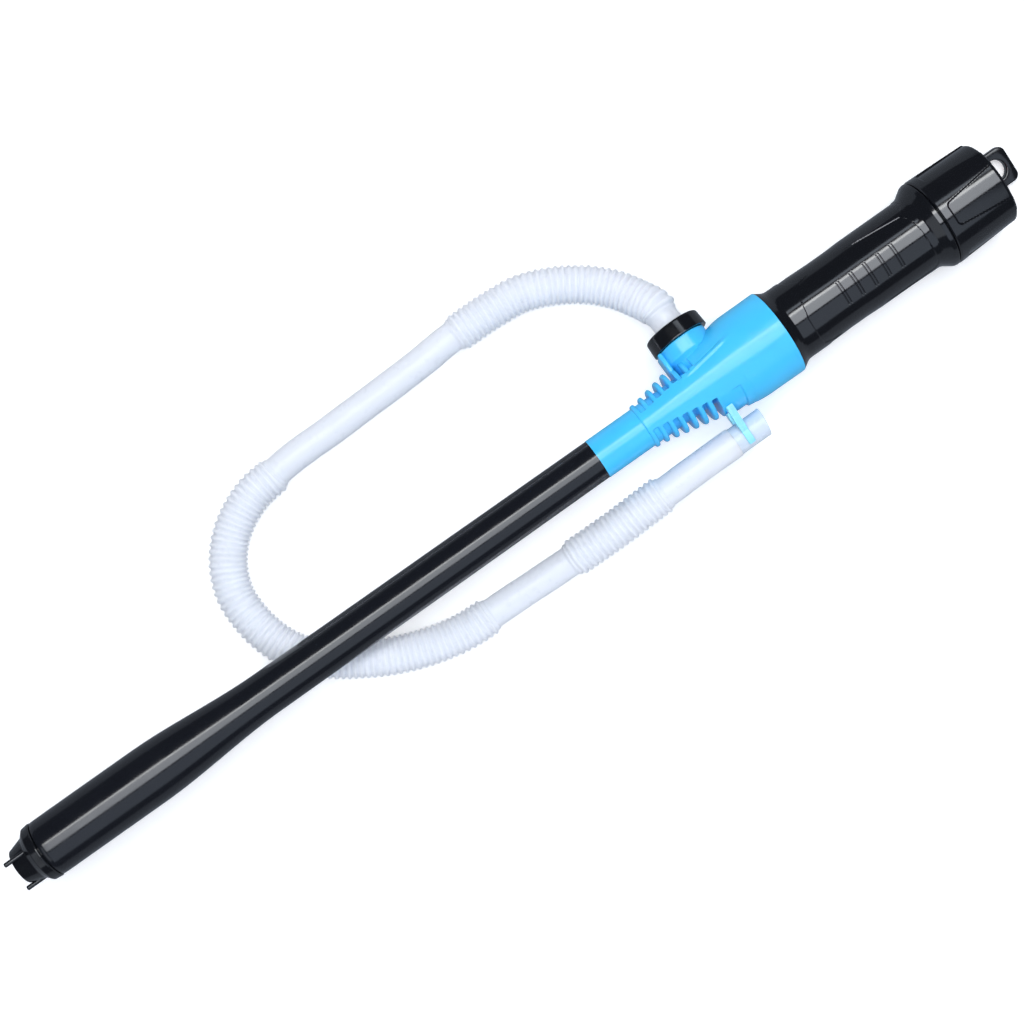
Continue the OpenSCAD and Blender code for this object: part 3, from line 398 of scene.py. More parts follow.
knots = [row(outlet, (35.0, 0, 0), TAIL_SHARE), row(outlet, (45.4, 0, 0), TAIL_SHARE),
         row(outlet, (48.4, 0, 0), 1.0)]
knots += [[NOSE[0] + OUTLET_AT + p[0], NOSE[1] + p[1], p[2] + HOSE_R, p[3]] for p in ground_route]
knots += [row(pump, (CUFF_AT - 16, -CLIP_REACH, 0), 0.0), row(pump, (CUFF_AT, -CLIP_REACH, 0), 0.0)]
knots = np.array(knots)


def through(points, i, t):
    """A smooth curve through knots at uneven distances, between knots i and i + 1."""
    gaps = np.linalg.norm(np.diff(points[:, :3], axis=0), axis=1)

    def slope(k):
        if k == 0 or k == len(points) - 1:
            j = min(k, len(points) - 2)
            return (points[j + 1] - points[j]) / gaps[j]
        before, after = gaps[k - 1], gaps[k]
        return ((points[k] - points[k - 1]) * after / before
                + (points[k + 1] - points[k]) * before / after) / (before + after)

    turn = smooth_step(t)
    return (points[i] * (1 - turn) + points[i + 1] * turn
            + (slope(i) * (1 - t) - slope(i + 1) * t) * gaps[i] * t * (1 - t))


def hose_radius(stations, share):
    """The hose's radius: ribs on the ribbed stretches, and a faint unevenness on the plain ones."""
    rib = 0.5 + 0.5 * np.cos(2 * math.pi * stations / RIB_PITCH)
    rib = smooth_step(rib * 1.25 - 0.1)
    ribbed = smooth_step((share - 0.35) / 0.5)
    radius = PLAIN_R + (HOSE_R - PLAIN_R) * share
    radius = radius - ribbed * RIB_DEEP * (1 - rib)
    return radius + 0.05 * np.sin(stations * 0.21) * (1 - ribbed)


dense = [through(knots, i, k / STEPS_PER_KNOT)
         for i in range(len(knots) - 1) for k in range(STEPS_PER_KNOT)]
dense = np.array(dense + [knots[-1]])
run = np.concatenate([[0], np.cumsum(np.linalg.norm(np.diff(dense[:, :3], axis=0), axis=1))])
hose_length = run[-1]
stations = np.linspace(0, hose_length, int(hose_length / HOSE_STEP))
route = np.stack([np.interp(stations, run, dense[:, k]) for k in range(4)], axis=1)
centre_line = route[:, :3]
radius = hose_radius(stations, np.clip(route[:, 3], 0, 1))
tangent = np.gradient(centre_line, axis=0)
tangent /= np.linalg.norm(tangent, axis=1)[:, None]
side = np.cross(tangent, [0, 0, 1.0])
side /= np.linalg.norm(side, axis=1)[:, None]
top = np.cross(side, tangent)
around = np.arange(HOSE_COLUMNS) * 2 * math.pi / HOSE_COLUMNS
hose_rings = centre_line[:, None, :] + radius[:, None, None] * (
    np.cos(around)[None, :, None] * side[:, None, :] + np.sin(around)[None, :, None] * top[:, None, :])
hose = lofted("hose", hose_rings * MM)
give(hose, "hose_plastic")
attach(hose, "pump")
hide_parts("discharge_hose")

# The hose's cuff, whose mouth is cut a little aslant
CUFF_BORE, CUFF_R = 6.6, 8.1
CUFF_START, CUFF_END = CUFF_AT - 3.0, CUFF_AT + 21.0
SLANT_AT, SLANT_OVER, SLANT, MOUTH_BACK = CUFF_AT + 12.0, 9.0, 0.1, 0.8
cuff_line = outline([
    (CUFF_START, CUFF_BORE, 0.3), (CUFF_START, CUFF_R, 0.3), (CUFF_END - 2.0, CUFF_R, 2.0),
    (CUFF_END, 8.3, 0.4), (CUFF_END, 7.1, 0.4), (CUFF_END - 3.0, CUFF_BORE, 1.0)], 1.0)


def cuff_place(p):
    near_mouth = rises(p[:, 0], SLANT_AT, SLANT_OVER)
    along = near_mouth * p[:, 1] * SLANT - MOUTH_BACK * near_mouth
    return pump(p + np.stack([along, np.full(len(p), -CLIP_REACH), np.zeros(len(p))], axis=1))


cuff = turned("hose_end", cuff_line, cuff_place, 64)
give(cuff, "cuff_plastic")
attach(cuff, "pump")
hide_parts("hose_cuff")

# Suction pipe: it swells to a foot at the intake, and tapers a little towards the head
FOOT_R, PIPE_R, PIPE_TAPER, PIPE_WALL = 16.9, 12.5, 0.6, 1.9
NARROWS_AT, NARROW_AT = PIPE_AT + 67.4, PIPE_AT + 147.4
stops = np.linspace(PIPE_AT, HEAD_AT, 120)
foot = FOOT_R - (FOOT_R - PIPE_R) * rises(stops, NARROWS_AT, NARROW_AT - NARROWS_AT)
taper = PIPE_R - PIPE_TAPER * np.clip((stops - NARROW_AT) / (HEAD_AT - NARROW_AT), 0, 1)
pipe_r = np.where(stops < NARROW_AT, foot, taper)
pipe_edge = [[PIPE_AT, FOOT_R - 0.7], [PIPE_AT + 0.2, FOOT_R - 0.4], [PIPE_AT + 0.6, FOOT_R - 0.1]]
pipe_outer = np.concatenate([pipe_edge, np.stack([stops, pipe_r], axis=1)[1:]])
pipe_inner = np.stack([stops[::-1], pipe_r[::-1] - PIPE_WALL], axis=1)
pipe = turned("pipe", np.concatenate([pipe_outer, pipe_inner]), pump, 96)
give(pipe, "black_pipe")
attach(pipe, "pump")
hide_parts("suction_pipe")

# Intake cap, with three prongs round its mouth
intake_line = outline([
    (0.0, 6.6, 0.4), (0.0, 10.2, 1.4), (9.6, 13.2, 2.0), (12.8, 16.7, 0.8), (17.0, 17.2, 0.5),
    (17.7, 16.5, 0.2), (17.7, 14.9), (29.8, 14.9, 0.4), (29.8, 13.5, 0.4), (17.7, 13.5),
    (15.4, 8.9, 0.5), (4.0, 8.9, 0.3), (4.0, 6.6, 0.3)], 0.5)
intake = turned("intake", intake_line, pump, 128)
give(intake, "black_gloss")
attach(intake, "pump")

PRONG_TIP, PRONG_ROOT, PRONG_R, PRONG_CIRCLE_R, PRONG_TURN = -3.4, 12.6, 1.35, 11.9, 27
prong_line = outline([(PRONG_TIP, 0.0), (PRONG_TIP, PRONG_R, 1.0), (PRONG_ROOT, PRONG_R)], 0.3,
                     closed=False)
for k in range(3):
    clock = math.radians(PRONG_TURN + 120 * k)

    def prong_place(p, clock=clock):
        return pump(turned_about(p + [0.0, 0.0, PRONG_CIRCLE_R], clock))

    prong = turned("intake_prong_%d" % (k + 1), prong_line, prong_place, 24, closed=False)
    give(prong, "black_gloss")
    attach(prong, "pump")
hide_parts("intake_cap")

# Pump head: ring, fins and slots on a cone, with a smooth spine along the top
FIN_PITCH, FIN_T, FIN_COUNT = 5.77, 2.75, 7
RING_START = RING_AT - FIN_T / 2
FINS_END = RING_AT + FIN_COUNT * FIN_PITCH - FIN_T / 2
CONE_MID = FINS_END + 0.9
SLEEVE_R, FIN_ROUND, RING_ROUND = 12.1, 1.15, 0.7
# A station behind all fins counts as this far inside one
DEEP_INSIDE = 99.0
# The spine's half width at the first slot and how much wider it is at each next one
SPINE_OUTLET_SIDE, SPINE_FAR_SIDE = (7.1, 0.8), (4.4, 0.9)
SEAT_R, SEAT_END, SEAT_HALF = 22.7, RING_AT + 53.6, math.radians(62)
SHELF_AT, SHELF_DEEP = RING_AT + 22.0, 1.5
SHELF_FROM, SHELF_TO = SHELF_AT + 3.0, SHELF_AT + 43.0
# The shelf's wall: how far out it begins, how much further out it goes per mm, and its rounding
WALL_START, WALL_SLOPE, WALL_ROUND = 8.4, 0.155, 1.6
# The ridge's crest lies a little back from the wall, towards the spine
RIDGE_FROM, RIDGE_TO = SHELF_AT + 4.0, SHELF_AT + 44.0
RIDGE_HIGH, RIDGE_HALF, RIDGE_BACK = 0.75, 0.85, 0.9
STEP_AT, STEP_LONG, STEP_FADE, STEP_HIGH = RING_AT + 58.0, 3.0, 10.0, 0.18
cone_u = [RING_START, RING_AT + FIN_T / 2, CONE_MID, RING_AT + 53.4, RING_AT + 66.0, TUBE_AT]
cone_r = [13.5, 13.6, 21.2, 24.0, 25.5, 25.6]


def cone(u):
    """The cone's radius with its corners drawn out smooth."""
    total = 0
    for shift in (-3.0, -1.5, 0.0, 1.5, 3.0):
        total = total + 0.2 * np.interp(u + shift, cone_u, cone_r)
    return total


def rounded_edge(inside, rounding):
    """How far a surface has dropped at a distance inside its edge, for a quarter round."""
    x = np.clip(rounding - inside, 0.0, rounding)
    return rounding - np.sqrt(np.maximum(rounding ** 2 - x ** 2, 0.0))


def finned(u, v_share, full):
    """The sleeve, the ring and the fins with the slots between them, and which points lie in a slot."""
    place = (u - RING_AT) / FIN_PITCH
    nearest = np.clip(np.round(place), 0, FIN_COUNT)
    in_fin = FIN_T / 2 - np.abs(u - RING_AT - nearest * FIN_PITCH)
    in_fin = np.where(u > FINS_END, DEEP_INSIDE, in_fin)
    in_slot = (in_fin <= 0) & (u > RING_AT) & (u < FINS_END)
    # the spine is wider on the outlet's side, and on both sides wider towards the body
    slot = np.clip(np.floor(place), 0, FIN_COUNT - 1)
    spine_half = np.where(v_share < 0, SPINE_FAR_SIDE[0] + SPINE_FAR_SIDE[1] * slot,
                          SPINE_OUTLET_SIDE[0] + SPINE_OUTLET_SIDE[1] * slot)
    spine = spine_half / np.maximum(np.abs(v_share), 1e-3)
    slot_top = soft_max(soft_min(full, spine, 0.7), SLEEVE_R, 0.5)
    # the fins are rounded only where they stand clear of the spine
    beside = smooth_step(np.abs(v_share) * full - spine_half)
    fin = full - rounded_edge(np.clip(in_fin, 0, 5), FIN_ROUND) * beside
    surface = np.where(in_slot, slot_top, fin)
    ring_front = full - rounded_edge(np.clip(u - RING_START, 0, 5), RING_ROUND)
    surface = np.where(u < RING_AT, np.minimum(surface, ring_front), surface)
    return np.where(u < RING_START, SLEEVE_R, surface), in_slot


def clip_seat(u, phi, surface):
    """The flat seat for the clip on one side."""
    turn = np.abs(wrap(phi + math.pi / 2))
    seat = rises(u, CONE_MID, 0.5) * falls(u, SEAT_END, 0.8) * falls(turn, SEAT_HALF, 0.05)
    return np.where(seat > 0, surface + (np.minimum(surface, SEAT_R) - surface) * seat, surface)


def outlet_shelf(u, across):
    """A lower shelf under the outlet with a rounded wall, and a swept ridge along the wall's edge."""
    wall = WALL_START + (u - SHELF_AT) * WALL_SLOPE
    shelf = rises(across, wall, WALL_ROUND) * rises(u, SHELF_FROM, 4.0) * falls(u, SHELF_TO, 16.0)
    crest = np.exp(-((across - wall + RIDGE_BACK) / RIDGE_HALF) ** 2)
    ridge = rises(u, RIDGE_FROM, 16.0) * falls(u, RIDGE_TO, 12.0) * crest
    return shelf * (across > 0), ridge * (across > 0)


def body_step(u, v_share):
    """The body's step towards the battery tube, on the side without the outlet."""
    step = rises(u, STEP_AT, 1.0) * (1 - rises(u, STEP_AT + STEP_LONG, STEP_FADE))
    return step * rises(-v_share, 0.2, 0.3)


def head_shape(u, phi):
    """The head's outer radius."""
    v_share = np.sin(phi)
    full = cone(u)
    surface, in_slot = finned(u, v_share, full)
    surface = clip_seat(u, phi, surface)
    shelf, ridge = outlet_shelf(u, full * v_share)
    surface = np.where(in_slot, surface, surface - SHELF_DEEP * shelf) + RIDGE_HIGH * ridge
    return surface + STEP_HIGH * body_step(u, v_share)


# The stations are closest where the fins are
head_u = np.concatenate([
    np.arange(HEAD_AT, RING_AT - 2.0, 1.0), np.arange(RING_AT - 2.0, CONE_MID + 2.0, 0.16),
    np.arange(CONE_MID + 2.0, TUBE_AT - 22.0, 0.3), np.arange(TUBE_AT - 22.0, TUBE_AT - 0.6, 0.8)])
# The radius here only holds the place: head_shape gives the real one
head_outer = np.stack([head_u, np.full(len(head_u), 20.0)], axis=1)
WET_END = OUTLET_AT + 10.0
REAR_AT = WET_END + 4.0
SHAFT_BORE, WET_R, PIPE_BORE, MOTOR_R, RIM_BORE = 3.8, 8.4, 9.9, 19.5, 23.1
head_inner = outline([
    (TUBE_AT - 0.6, 25.6), (TUBE_AT, 25.6, 0.5), (TUBE_AT, RIM_BORE, 0.2), (TUBE_AT - 14.3, RIM_BORE),
    (TUBE_AT - 14.3, MOTOR_R), (REAR_AT, MOTOR_R), (REAR_AT, SHAFT_BORE), (WET_END, SHAFT_BORE),
    (WET_END, WET_R), (HEAD_AT - 15.0, WET_R, 0.2), (HEAD_AT - 15.0, PIPE_BORE, 0.2),
    (HEAD_AT - 0.3, PIPE_BORE)], 2.0, closed=False)
head_rows = len(head_outer)


def head_radius(u, phi, r):
    out = r.copy()
    out[:head_rows] = head_shape(u[:head_rows], phi[:head_rows])
    return out


head = turned("head", np.concatenate([head_outer, head_inner]), pump, 480, shape=head_radius, sharp=SHARP)
give(head, "blue_plastic")
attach(head, "pump")
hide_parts("pump_head")

# The outlet's boss, and the rib that crosses it in line with the fins
BOSS_BORE, BOSS_NECK_R = 7.5, 13.0
boss_line = outline([
    (9.0, 12.4), (15.6, 12.4, 1.2), (18.4, 14.9, 1.8), (27.0, 14.9, 0.35), (27.0, BOSS_NECK_R, 0.3),
    (33.2, BOSS_NECK_R, 0.4), (33.2, BOSS_BORE, 0.3), (9.0, BOSS_BORE)], 0.8)
boss = turned("outlet_boss", boss_line, outlet, 128)
give(boss, "blue_plastic")
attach(boss, "pump")


def box_form(low, high):
    """A box between two corners."""
    bm = bmesh.new()
    bmesh.ops.create_cube(bm, size=1.0)
    low, high = np.array(low, float), np.array(high, float)
    for vert in bm.verts:
        vert.co = Vector((low + high) / 2 + np.array(vert.co) * (high - low))
    return bm


rib_at = RING_AT + 5 * FIN_PITCH - OUTLET_AT
rib_form = box_form((6.0, rib_at - FIN_T / 2, -9.0), (26.9, rib_at + FIN_T / 2, 9.0))
boss_rib = bevelled("boss_rib", rib_form, 1.0, outlet)
give(boss_rib, "blue_plastic")
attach(boss_rib, "pump")

# Clip for the hose's end: a ring that opens outward, with a strap and a foot on the head
CLIP_HALF, CLIP_BORE, CLIP_R = 2.05, 8.25, 9.95
JAW_END, JAW_ROUND, JAW_FLARE, JAW_STEPS = math.radians(33), 12, 0.09, 120
clip_edge = outline([(CLIP_AT - CLIP_HALF, CLIP_BORE, 0.3), (CLIP_AT - CLIP_HALF, CLIP_R, 0.6),
                     (CLIP_AT + CLIP_HALF, CLIP_R, 0.6), (CLIP_AT + CLIP_HALF, CLIP_BORE, 0.3)], 0.4)
clip_mid = clip_edge.mean(axis=0)


def clip_ring(k):
    """The clip's section at step k along the ring, drawn in at both rounded ends."""
    past = max(0, -k, k - JAW_STEPS) / JAW_ROUND * math.pi / 2
    turn = -JAW_END + (math.pi + 2 * JAW_END) * min(max(k, 0), JAW_STEPS) / JAW_STEPS
    turn += math.copysign(JAW_FLARE * math.sin(past), k - JAW_STEPS / 2)
    section = clip_mid + (clip_edge - clip_mid) * math.cos(past * 0.98)
    return [[u, r * math.sin(turn) - CLIP_REACH, r * math.cos(turn)] for u, r in section]


clip_rings = np.array([clip_ring(k) for k in range(-JAW_ROUND, JAW_STEPS + 1 + JAW_ROUND)])
clip = lofted("clip", pump(clip_rings.reshape(-1, 3)).reshape(clip_rings.shape), SHARP_TURNED)
give(clip, "clip_plastic")
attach(clip, "pump")
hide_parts("hose_clip")


def slab(name, side, low, high, rounding, material, body="pump"):
    """A flat piece with an outline (across, above), between two stations, with rounded edges."""
    bm = bmesh.new()
    near = [bm.verts.new((low, v, w)) for v, w in side]
    far = [bm.verts.new((high, v, w)) for v, w in side]
    bm.faces.new(near)
    bm.faces.new(far[::-1])
    for k in range(len(side)):
        j = (k + 1) % len(side)
        bm.faces.new([near[k], far[k], far[j], near[j]])
    obj = bevelled(name, bm, rounding, pump)
    give(obj, material)
    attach(obj, body)


ARM_SIDE = [(-17.0, 15.4), (-21.0, 14.0), (-28.0, 11.6), (-33.6, 9.9), (-29.6, 6.6), (-27.4, -2.0),
            (-28.4, -7.0), (-19.0, -7.0)]
FOOT_SIDE = [(-20.5, 11.2), (-27.5, 8.6), (-27.0, 4.0), (-20.5, 4.0)]
slab("clip_arm", ARM_SIDE, CLIP_AT - CLIP_HALF, CLIP_AT + CLIP_HALF, 0.5, "clip_plastic")
slab("clip_foot", FOOT_SIDE, CLIP_AT - 3.3, CLIP_AT - 1.8, 0.4, "clip_plastic")

# Outlet nut
NUT_START, NUT_END, NUT_BORE = 27.3, 36.7, 13.3
nut_line = outline([
    (NUT_START, NUT_BORE, 0.2), (NUT_START, 17.2, 0.35), (NUT_END, 16.7, 1.5), (NUT_END, 9.65, 0.4),
    (NUT_END - 1.2, 9.65, 0.2), (NUT_END - 1.2, NUT_BORE, 0.2)], 0.5)
nut = turned("nut", nut_line, outlet, 128)
give(nut, "black_gloss")
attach(nut, "nut")
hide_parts("outlet_nut")

# Battery tube: a waisted grip with three long panels between spear-shaped ribs, and double grooves
GRIP_R, WAIST_R = 22.1, 21.75
tube_side = outline([
    (TUBE_AT + 0.05, 25.5, 0.5), (TUBE_AT + 5.2, GRIP_R, 7.0), (TUBE_AT + 22.0, GRIP_R, 8.0),
    (TUBE_AT + 34.7, WAIST_R, 16.0), (TUBE_AT + 45.7, WAIST_R, 16.0), (TUBE_AT + 55.0, GRIP_R, 16.0),
    (COLLAR_AT - 9.2, GRIP_R, 6.0), (COLLAR_AT - 3.0, 26.3, 2.0), (COLLAR_AT - 0.9, 26.8, 0.5),
    (COLLAR_AT, 26.0, 0.3)], 0.25, closed=False)
GROOVE_PAIR, GROOVE_R, GROOVE_DEEP = 1.63, 0.36, 0.42
GROOVE_MID, GROOVE_HALF, GROOVE_FADE = math.radians(-9.3), math.radians(20.7), math.radians(3.0)
GROOVES = [TUBE_AT + 38.1 + 8.81 * g + sign * GROOVE_PAIR for g in range(5) for sign in (-0.5, 0.5)]
# Stations across a groove, and the stretch with the grooves, which has closer stations
ACROSS_GROOVE = GROOVE_R * np.array([-1.3, -1, -0.9, -0.65, -0.35, 0, 0.35, 0.65, 0.9, 1, 1.3])
GROOVED_FROM, GROOVED_TO = TUBE_AT + 36, TUBE_AT + 76
# Panel outline: (distance from the head, angle from the top in degrees)
PANEL = np.array([
    (14.0, -30), (13.9, -9), (14.8, 0), (16.0, 16.7), (17.7, 30), (21.4, 42.9), (31.7, 51.1),
    (45.4, 51.1), (87.1, 36.5), (89.7, 27), (91.1, 16.7), (92.0, 0), (92.2, -17.6), (92.6, -38),
    (92.8, -58), (92.2, -69), (90.1, -74), (32.1, -74), (21.6, -72), (16.1, -63), (14.4, -47)])
# The panel's wall is full depth from this far inside the outline, and a fine groove runs along it
PANEL_TURN, PANEL_DEEP, PANEL_WALL_AT, PANEL_WALL = 8.7, 0.34, 0.42, 0.5
LINE_DEEP, LINE_AT, LINE_HALF = 0.06, 0.35, 0.25
# A point this far off lies on no panel
FAR_OFF = 99.0


def edge_distance(x, y, corners):
    """Distance to a closed outline, below zero inside it."""
    near = np.full(x.shape, 1e9)
    inside = np.zeros(x.shape, bool)
    for (x0, y0), (x1, y1) in zip(corners, np.roll(corners, -1, axis=0)):
        dx, dy = x1 - x0, y1 - y0
        t = np.clip(((x - x0) * dx + (y - y0) * dy) / (dx * dx + dy * dy), 0, 1)
        near = np.minimum(near, np.hypot(x - x0 - t * dx, y - y0 - t * dy))
        if y0 != y1:
            crosses = (y0 > y) != (y1 > y)
            inside ^= crosses & (x < dx * (y - y0) / dy + x0)
    return np.where(inside, -near, near)


def panel_drop(u, phi):
    """How deep the surface lies in the panels and along their edges."""
    mm_per_degree = math.radians(GRIP_R)
    d = np.full(u.shape, FAR_OFF)
    for k in range(3):
        turn = np.degrees(wrap(phi + math.radians(PANEL_TURN - 120 * k))) - PANEL_TURN
        d = np.minimum(d, edge_distance(u - TUBE_AT, turn * mm_per_degree, PANEL * [1.0, mm_per_degree]))
    line = LINE_DEEP * np.exp(-((d + LINE_AT) / LINE_HALF) ** 2)
    return PANEL_DEEP * (1 - rises(d, -PANEL_WALL_AT, PANEL_WALL)) + line


def grip_shape(u, phi, r):
    """The tube's outer radius, with its panels and grooves."""
    result = r.copy()
    area = (u > TUBE_AT + 8) & (u < COLLAR_AT - 7)
    result[area] -= panel_drop(u[area], phi[area])
    for k in range(3):
        turn = wrap(phi - GROOVE_MID - math.radians(120 * k))
        end = falls(np.abs(turn), GROOVE_HALF, GROOVE_FADE)
        for at in GROOVES:
            off = np.abs(u - at) / GROOVE_R
            result -= GROOVE_DEEP * np.sqrt(np.clip(1 - off ** 2, 0, 1)) * end
    return result


grooved_u = np.concatenate([at + ACROSS_GROOVE for at in GROOVES]
                           + [np.arange(GROOVED_FROM + 0.1, GROOVED_TO - 0.1, 0.3)])
grooved_u = np.sort(grooved_u)
grooved_u = grooved_u[np.concatenate([[True], np.diff(grooved_u) > 0.04])]
grooved_r = np.interp(grooved_u, tube_side[:, 0], tube_side[:, 1])
tube_outer = np.concatenate([
    tube_side[tube_side[:, 0] <= GROOVED_FROM], np.stack([grooved_u, grooved_r], axis=1),
    tube_side[tube_side[:, 0] >= GROOVED_TO]])
TUBE_END, NECK_R, BORE_R, SPIGOT_R = COLLAR_AT + 13.0, 23.0, 19.5, 23.0
tube_inner = outline([
    (COLLAR_AT, 25.6), (COLLAR_AT, NECK_R, 0.3), (TUBE_END, NECK_R, 0.5), (TUBE_END, BORE_R, 0.3),
    (TUBE_AT - 14.0, BORE_R, 0.3), (TUBE_AT - 14.0, SPIGOT_R, 0.4), (TUBE_AT - 0.1, SPIGOT_R),
    (TUBE_AT + 0.05, 24.6, 0.2)], 1.5, closed=False)
tube_rows = len(tube_outer)


def tube_radius(u, phi, r):
    out = r.copy()
    out[:tube_rows] = grip_shape(u[:tube_rows], phi[:tube_rows], r[:tube_rows])
    return out


barrel = turned("battery_tube_shell", np.concatenate([tube_outer, tube_inner]), pump, 600,
                shape=tube_radius, sharp=SHARP_FINE)
give(barrel, "black_gloss")
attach(barrel, "pump")
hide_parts("battery_tube")

# End cap: five finger recesses that open towards the face
CAP_R, CAP_END_R, CAP_ROUND, CAP_BORE, SWITCH_BORE = 26.9, 25.9, 1.5, 23.3, 12.0
# The recesses and the hanging loop are set round the axis by this
GRIP_TURN = math.radians(-6.5)
RECESS_AT, RECESS_START, RECESS_END, RECESS_DEEP = CAP_AT + 5.1, 7.2, 11.8, 0.9
RECESS_R, RECESS_CORNER, RECESS_EDGE = 26.3, 2.7, 0.75
cap_start = outline([
    (CAP_AT + 1.5, 25.3), (CAP_AT, 25.3, 0.2), (CAP_AT, 26.1, 0.3), (CAP_AT + 0.8, CAP_R - 0.02, 0.5),
    (CAP_AT + 1.3, CAP_R - 0.03)], 0.4, closed=False)
cap_u = np.arange(CAP_AT + 1.5, FACE_AT - CAP_ROUND, 0.22)
cap_side = np.stack([cap_u, CAP_R + (CAP_END_R - CAP_R) * (cap_u - CAP_AT) / (FACE_AT - CAP_AT)], axis=1)
turn_in = np.linspace(0, math.pi / 2, 14)
cap_edge = np.stack([FACE_AT - CAP_ROUND * (1 - np.sin(turn_in)),
                     CAP_END_R - CAP_ROUND * (1 - np.cos(turn_in))], axis=1)
cap_face = outline([
    (FACE_AT, CAP_END_R - 1.8), (FACE_AT, SWITCH_BORE, 0.2), (FACE_AT - 3.0, SWITCH_BORE, 0.2),
    (FACE_AT - 3.0, 22.3, 0.5), (TUBE_END + 1.2, CAP_BORE, 0.3), (CAP_AT + 1.5, CAP_BORE)],
    0.8, closed=False)
cap_rows = slice(len(cap_start), len(cap_start) + len(cap_side) + len(cap_edge))


def cap_shape(u, phi, r):
    """The cap's radius, less the recesses: each widens towards the face and has a round end."""
    out = r.copy()
    x = u[cap_rows] - RECESS_AT
    half = RECESS_START + (RECESS_END - RECESS_START) * x / (FACE_AT - RECESS_AT)
    for k in range(5):
        turn = wrap(phi[cap_rows] - GRIP_TURN - math.radians(72 * k))
        y = np.abs(turn) * RECESS_R
        qx, qy = RECESS_CORNER - x, y - (half - RECESS_CORNER)
        inside = np.minimum(np.maximum(qx, qy), 0)
        d = np.hypot(np.maximum(qx, 0), np.maximum(qy, 0)) + inside - RECESS_CORNER
        out[cap_rows] -= RECESS_DEEP * (1 - rises(d, -RECESS_EDGE, RECESS_EDGE))
    return out


cap = turned("cap", np.concatenate([cap_start, cap_side, cap_edge, cap_face]), pump, 640,
             shape=cap_shape, sharp=SHARP_FINE)
give(cap, "black_gloss")
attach(cap, "cap")
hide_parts("end_cap")

# Hanging loop under the cap's face: a flat tab with a round hole
LOOP_TURN = math.radians(180 - 3.5) + GRIP_TURN
LOOP_ROOT, LOOP_LEN, LOOP_HALF, LOOP_CORNER = -2.6, 22.9, 21.9 / 2, 4.2
LOOP_LOW, LOOP_HIGH, LOOP_ROUND, LOOP_STEP = 18.9, 23.9, 0.9, 1.0
HOLE_AT, HOLE_R = 12.6, 6.1


def loop_place(p):
    return pump(turned_about(p + [FACE_AT, 0.0, 0.0], LOOP_TURN))


def between(a, b, count):
    """Points from a towards b, in equal steps and without b."""
    return [(a[0] + (b[0] - a[0]) * i / count, a[1] + (b[1] - a[1]) * i / count) for i in range(count)]


def loop_edge():
    """The loop's edge seen flat, as (along, across), all the way round."""
    half_edge = [(LOOP_ROOT, -LOOP_HALF)]
    for k in range(13):
        a = -math.pi / 2 + math.pi / 2 * k / 12
        half_edge.append((LOOP_LEN - LOOP_CORNER + LOOP_CORNER * math.cos(a),
                          -LOOP_HALF + LOOP_CORNER + LOOP_CORNER * math.sin(a)))
    edge = half_edge + [(x, -y) for x, y in reversed(half_edge)]
    points = []
    for a, b in zip(edge[:-1], edge[1:]):
        points += between(a, b, max(1, int(math.hypot(b[0] - a[0], b[1] - a[1]) / LOOP_STEP)))
    return points + between(edge[-1], edge[0], 20)


def loop_section():
    """The loop's rounded section as (0 outside or 1 at the hole, inset, level).

    It goes up the outside edge, over the top, down the hole and back along the underside.
    """
    arc = [math.pi / 10 * k for k in range(6)]
    profile = [(LOOP_ROUND * (1 - math.sin(a)), LOOP_ROUND * (1 - math.cos(a))) for a in arc]
    return ([(0, i, LOOP_LOW + d) for i, d in profile]
            + [(0, i, LOOP_HIGH - d) for i, d in profile[::-1]]
            + [(1, i, LOOP_HIGH - d) for i, d in profile]
            + [(1, i, LOOP_LOW + d) for i, d in profile[::-1]])


loop_outside, loop_rows = np.array(loop_edge()), loop_section()
clock = np.arctan2(loop_outside[:, 1], loop_outside[:, 0] - HOLE_AT)
loop_hole = np.stack([HOLE_AT + HOLE_R * np.cos(clock), HOLE_R * np.sin(clock)], axis=1)
inward = loop_hole - loop_outside
inward /= np.linalg.norm(inward, axis=1)[:, None]
loop_points = []
for at_hole, inset, level in loop_rows:
    flat = loop_hole - inward * inset if at_hole else loop_outside + inward * inset
    loop_points += [(x, y, level) for x, y in flat]
loop = mesh_object("cap_loop", loop_place(np.array(loop_points)),
                   ring_faces(len(loop_rows), len(loop_outside), True), SHARP)
give(loop, "black_gloss")
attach(loop, "cap")

# Switch: a matt ring and the red button with its two words
BEZEL_BORE, BEZEL_HIGH = 9.8, 0.9
bezel_line = outline([
    (FACE_AT, BEZEL_BORE, 0.1), (FACE_AT, 13.0, 0.1), (FACE_AT + BEZEL_HIGH, 12.5, 0.35),
    (FACE_AT + BEZEL_HIGH, BEZEL_BORE, 0.3)], 0.3)
bezel = turned("switch_ring", bezel_line, pump, 128)
give(bezel, "black_satin")
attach(bezel, "cap")
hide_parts("switch_bezel")

BUTTON_TOP, BUTTON_R, FLANGE_R, BUTTON_BORE = FACE_AT + 2.8, 9.5, 10.4, 7.9
BUTTON_END, BUTTON_UNDER = BUTTON_TOP - 6.6, BUTTON_TOP - 1.6
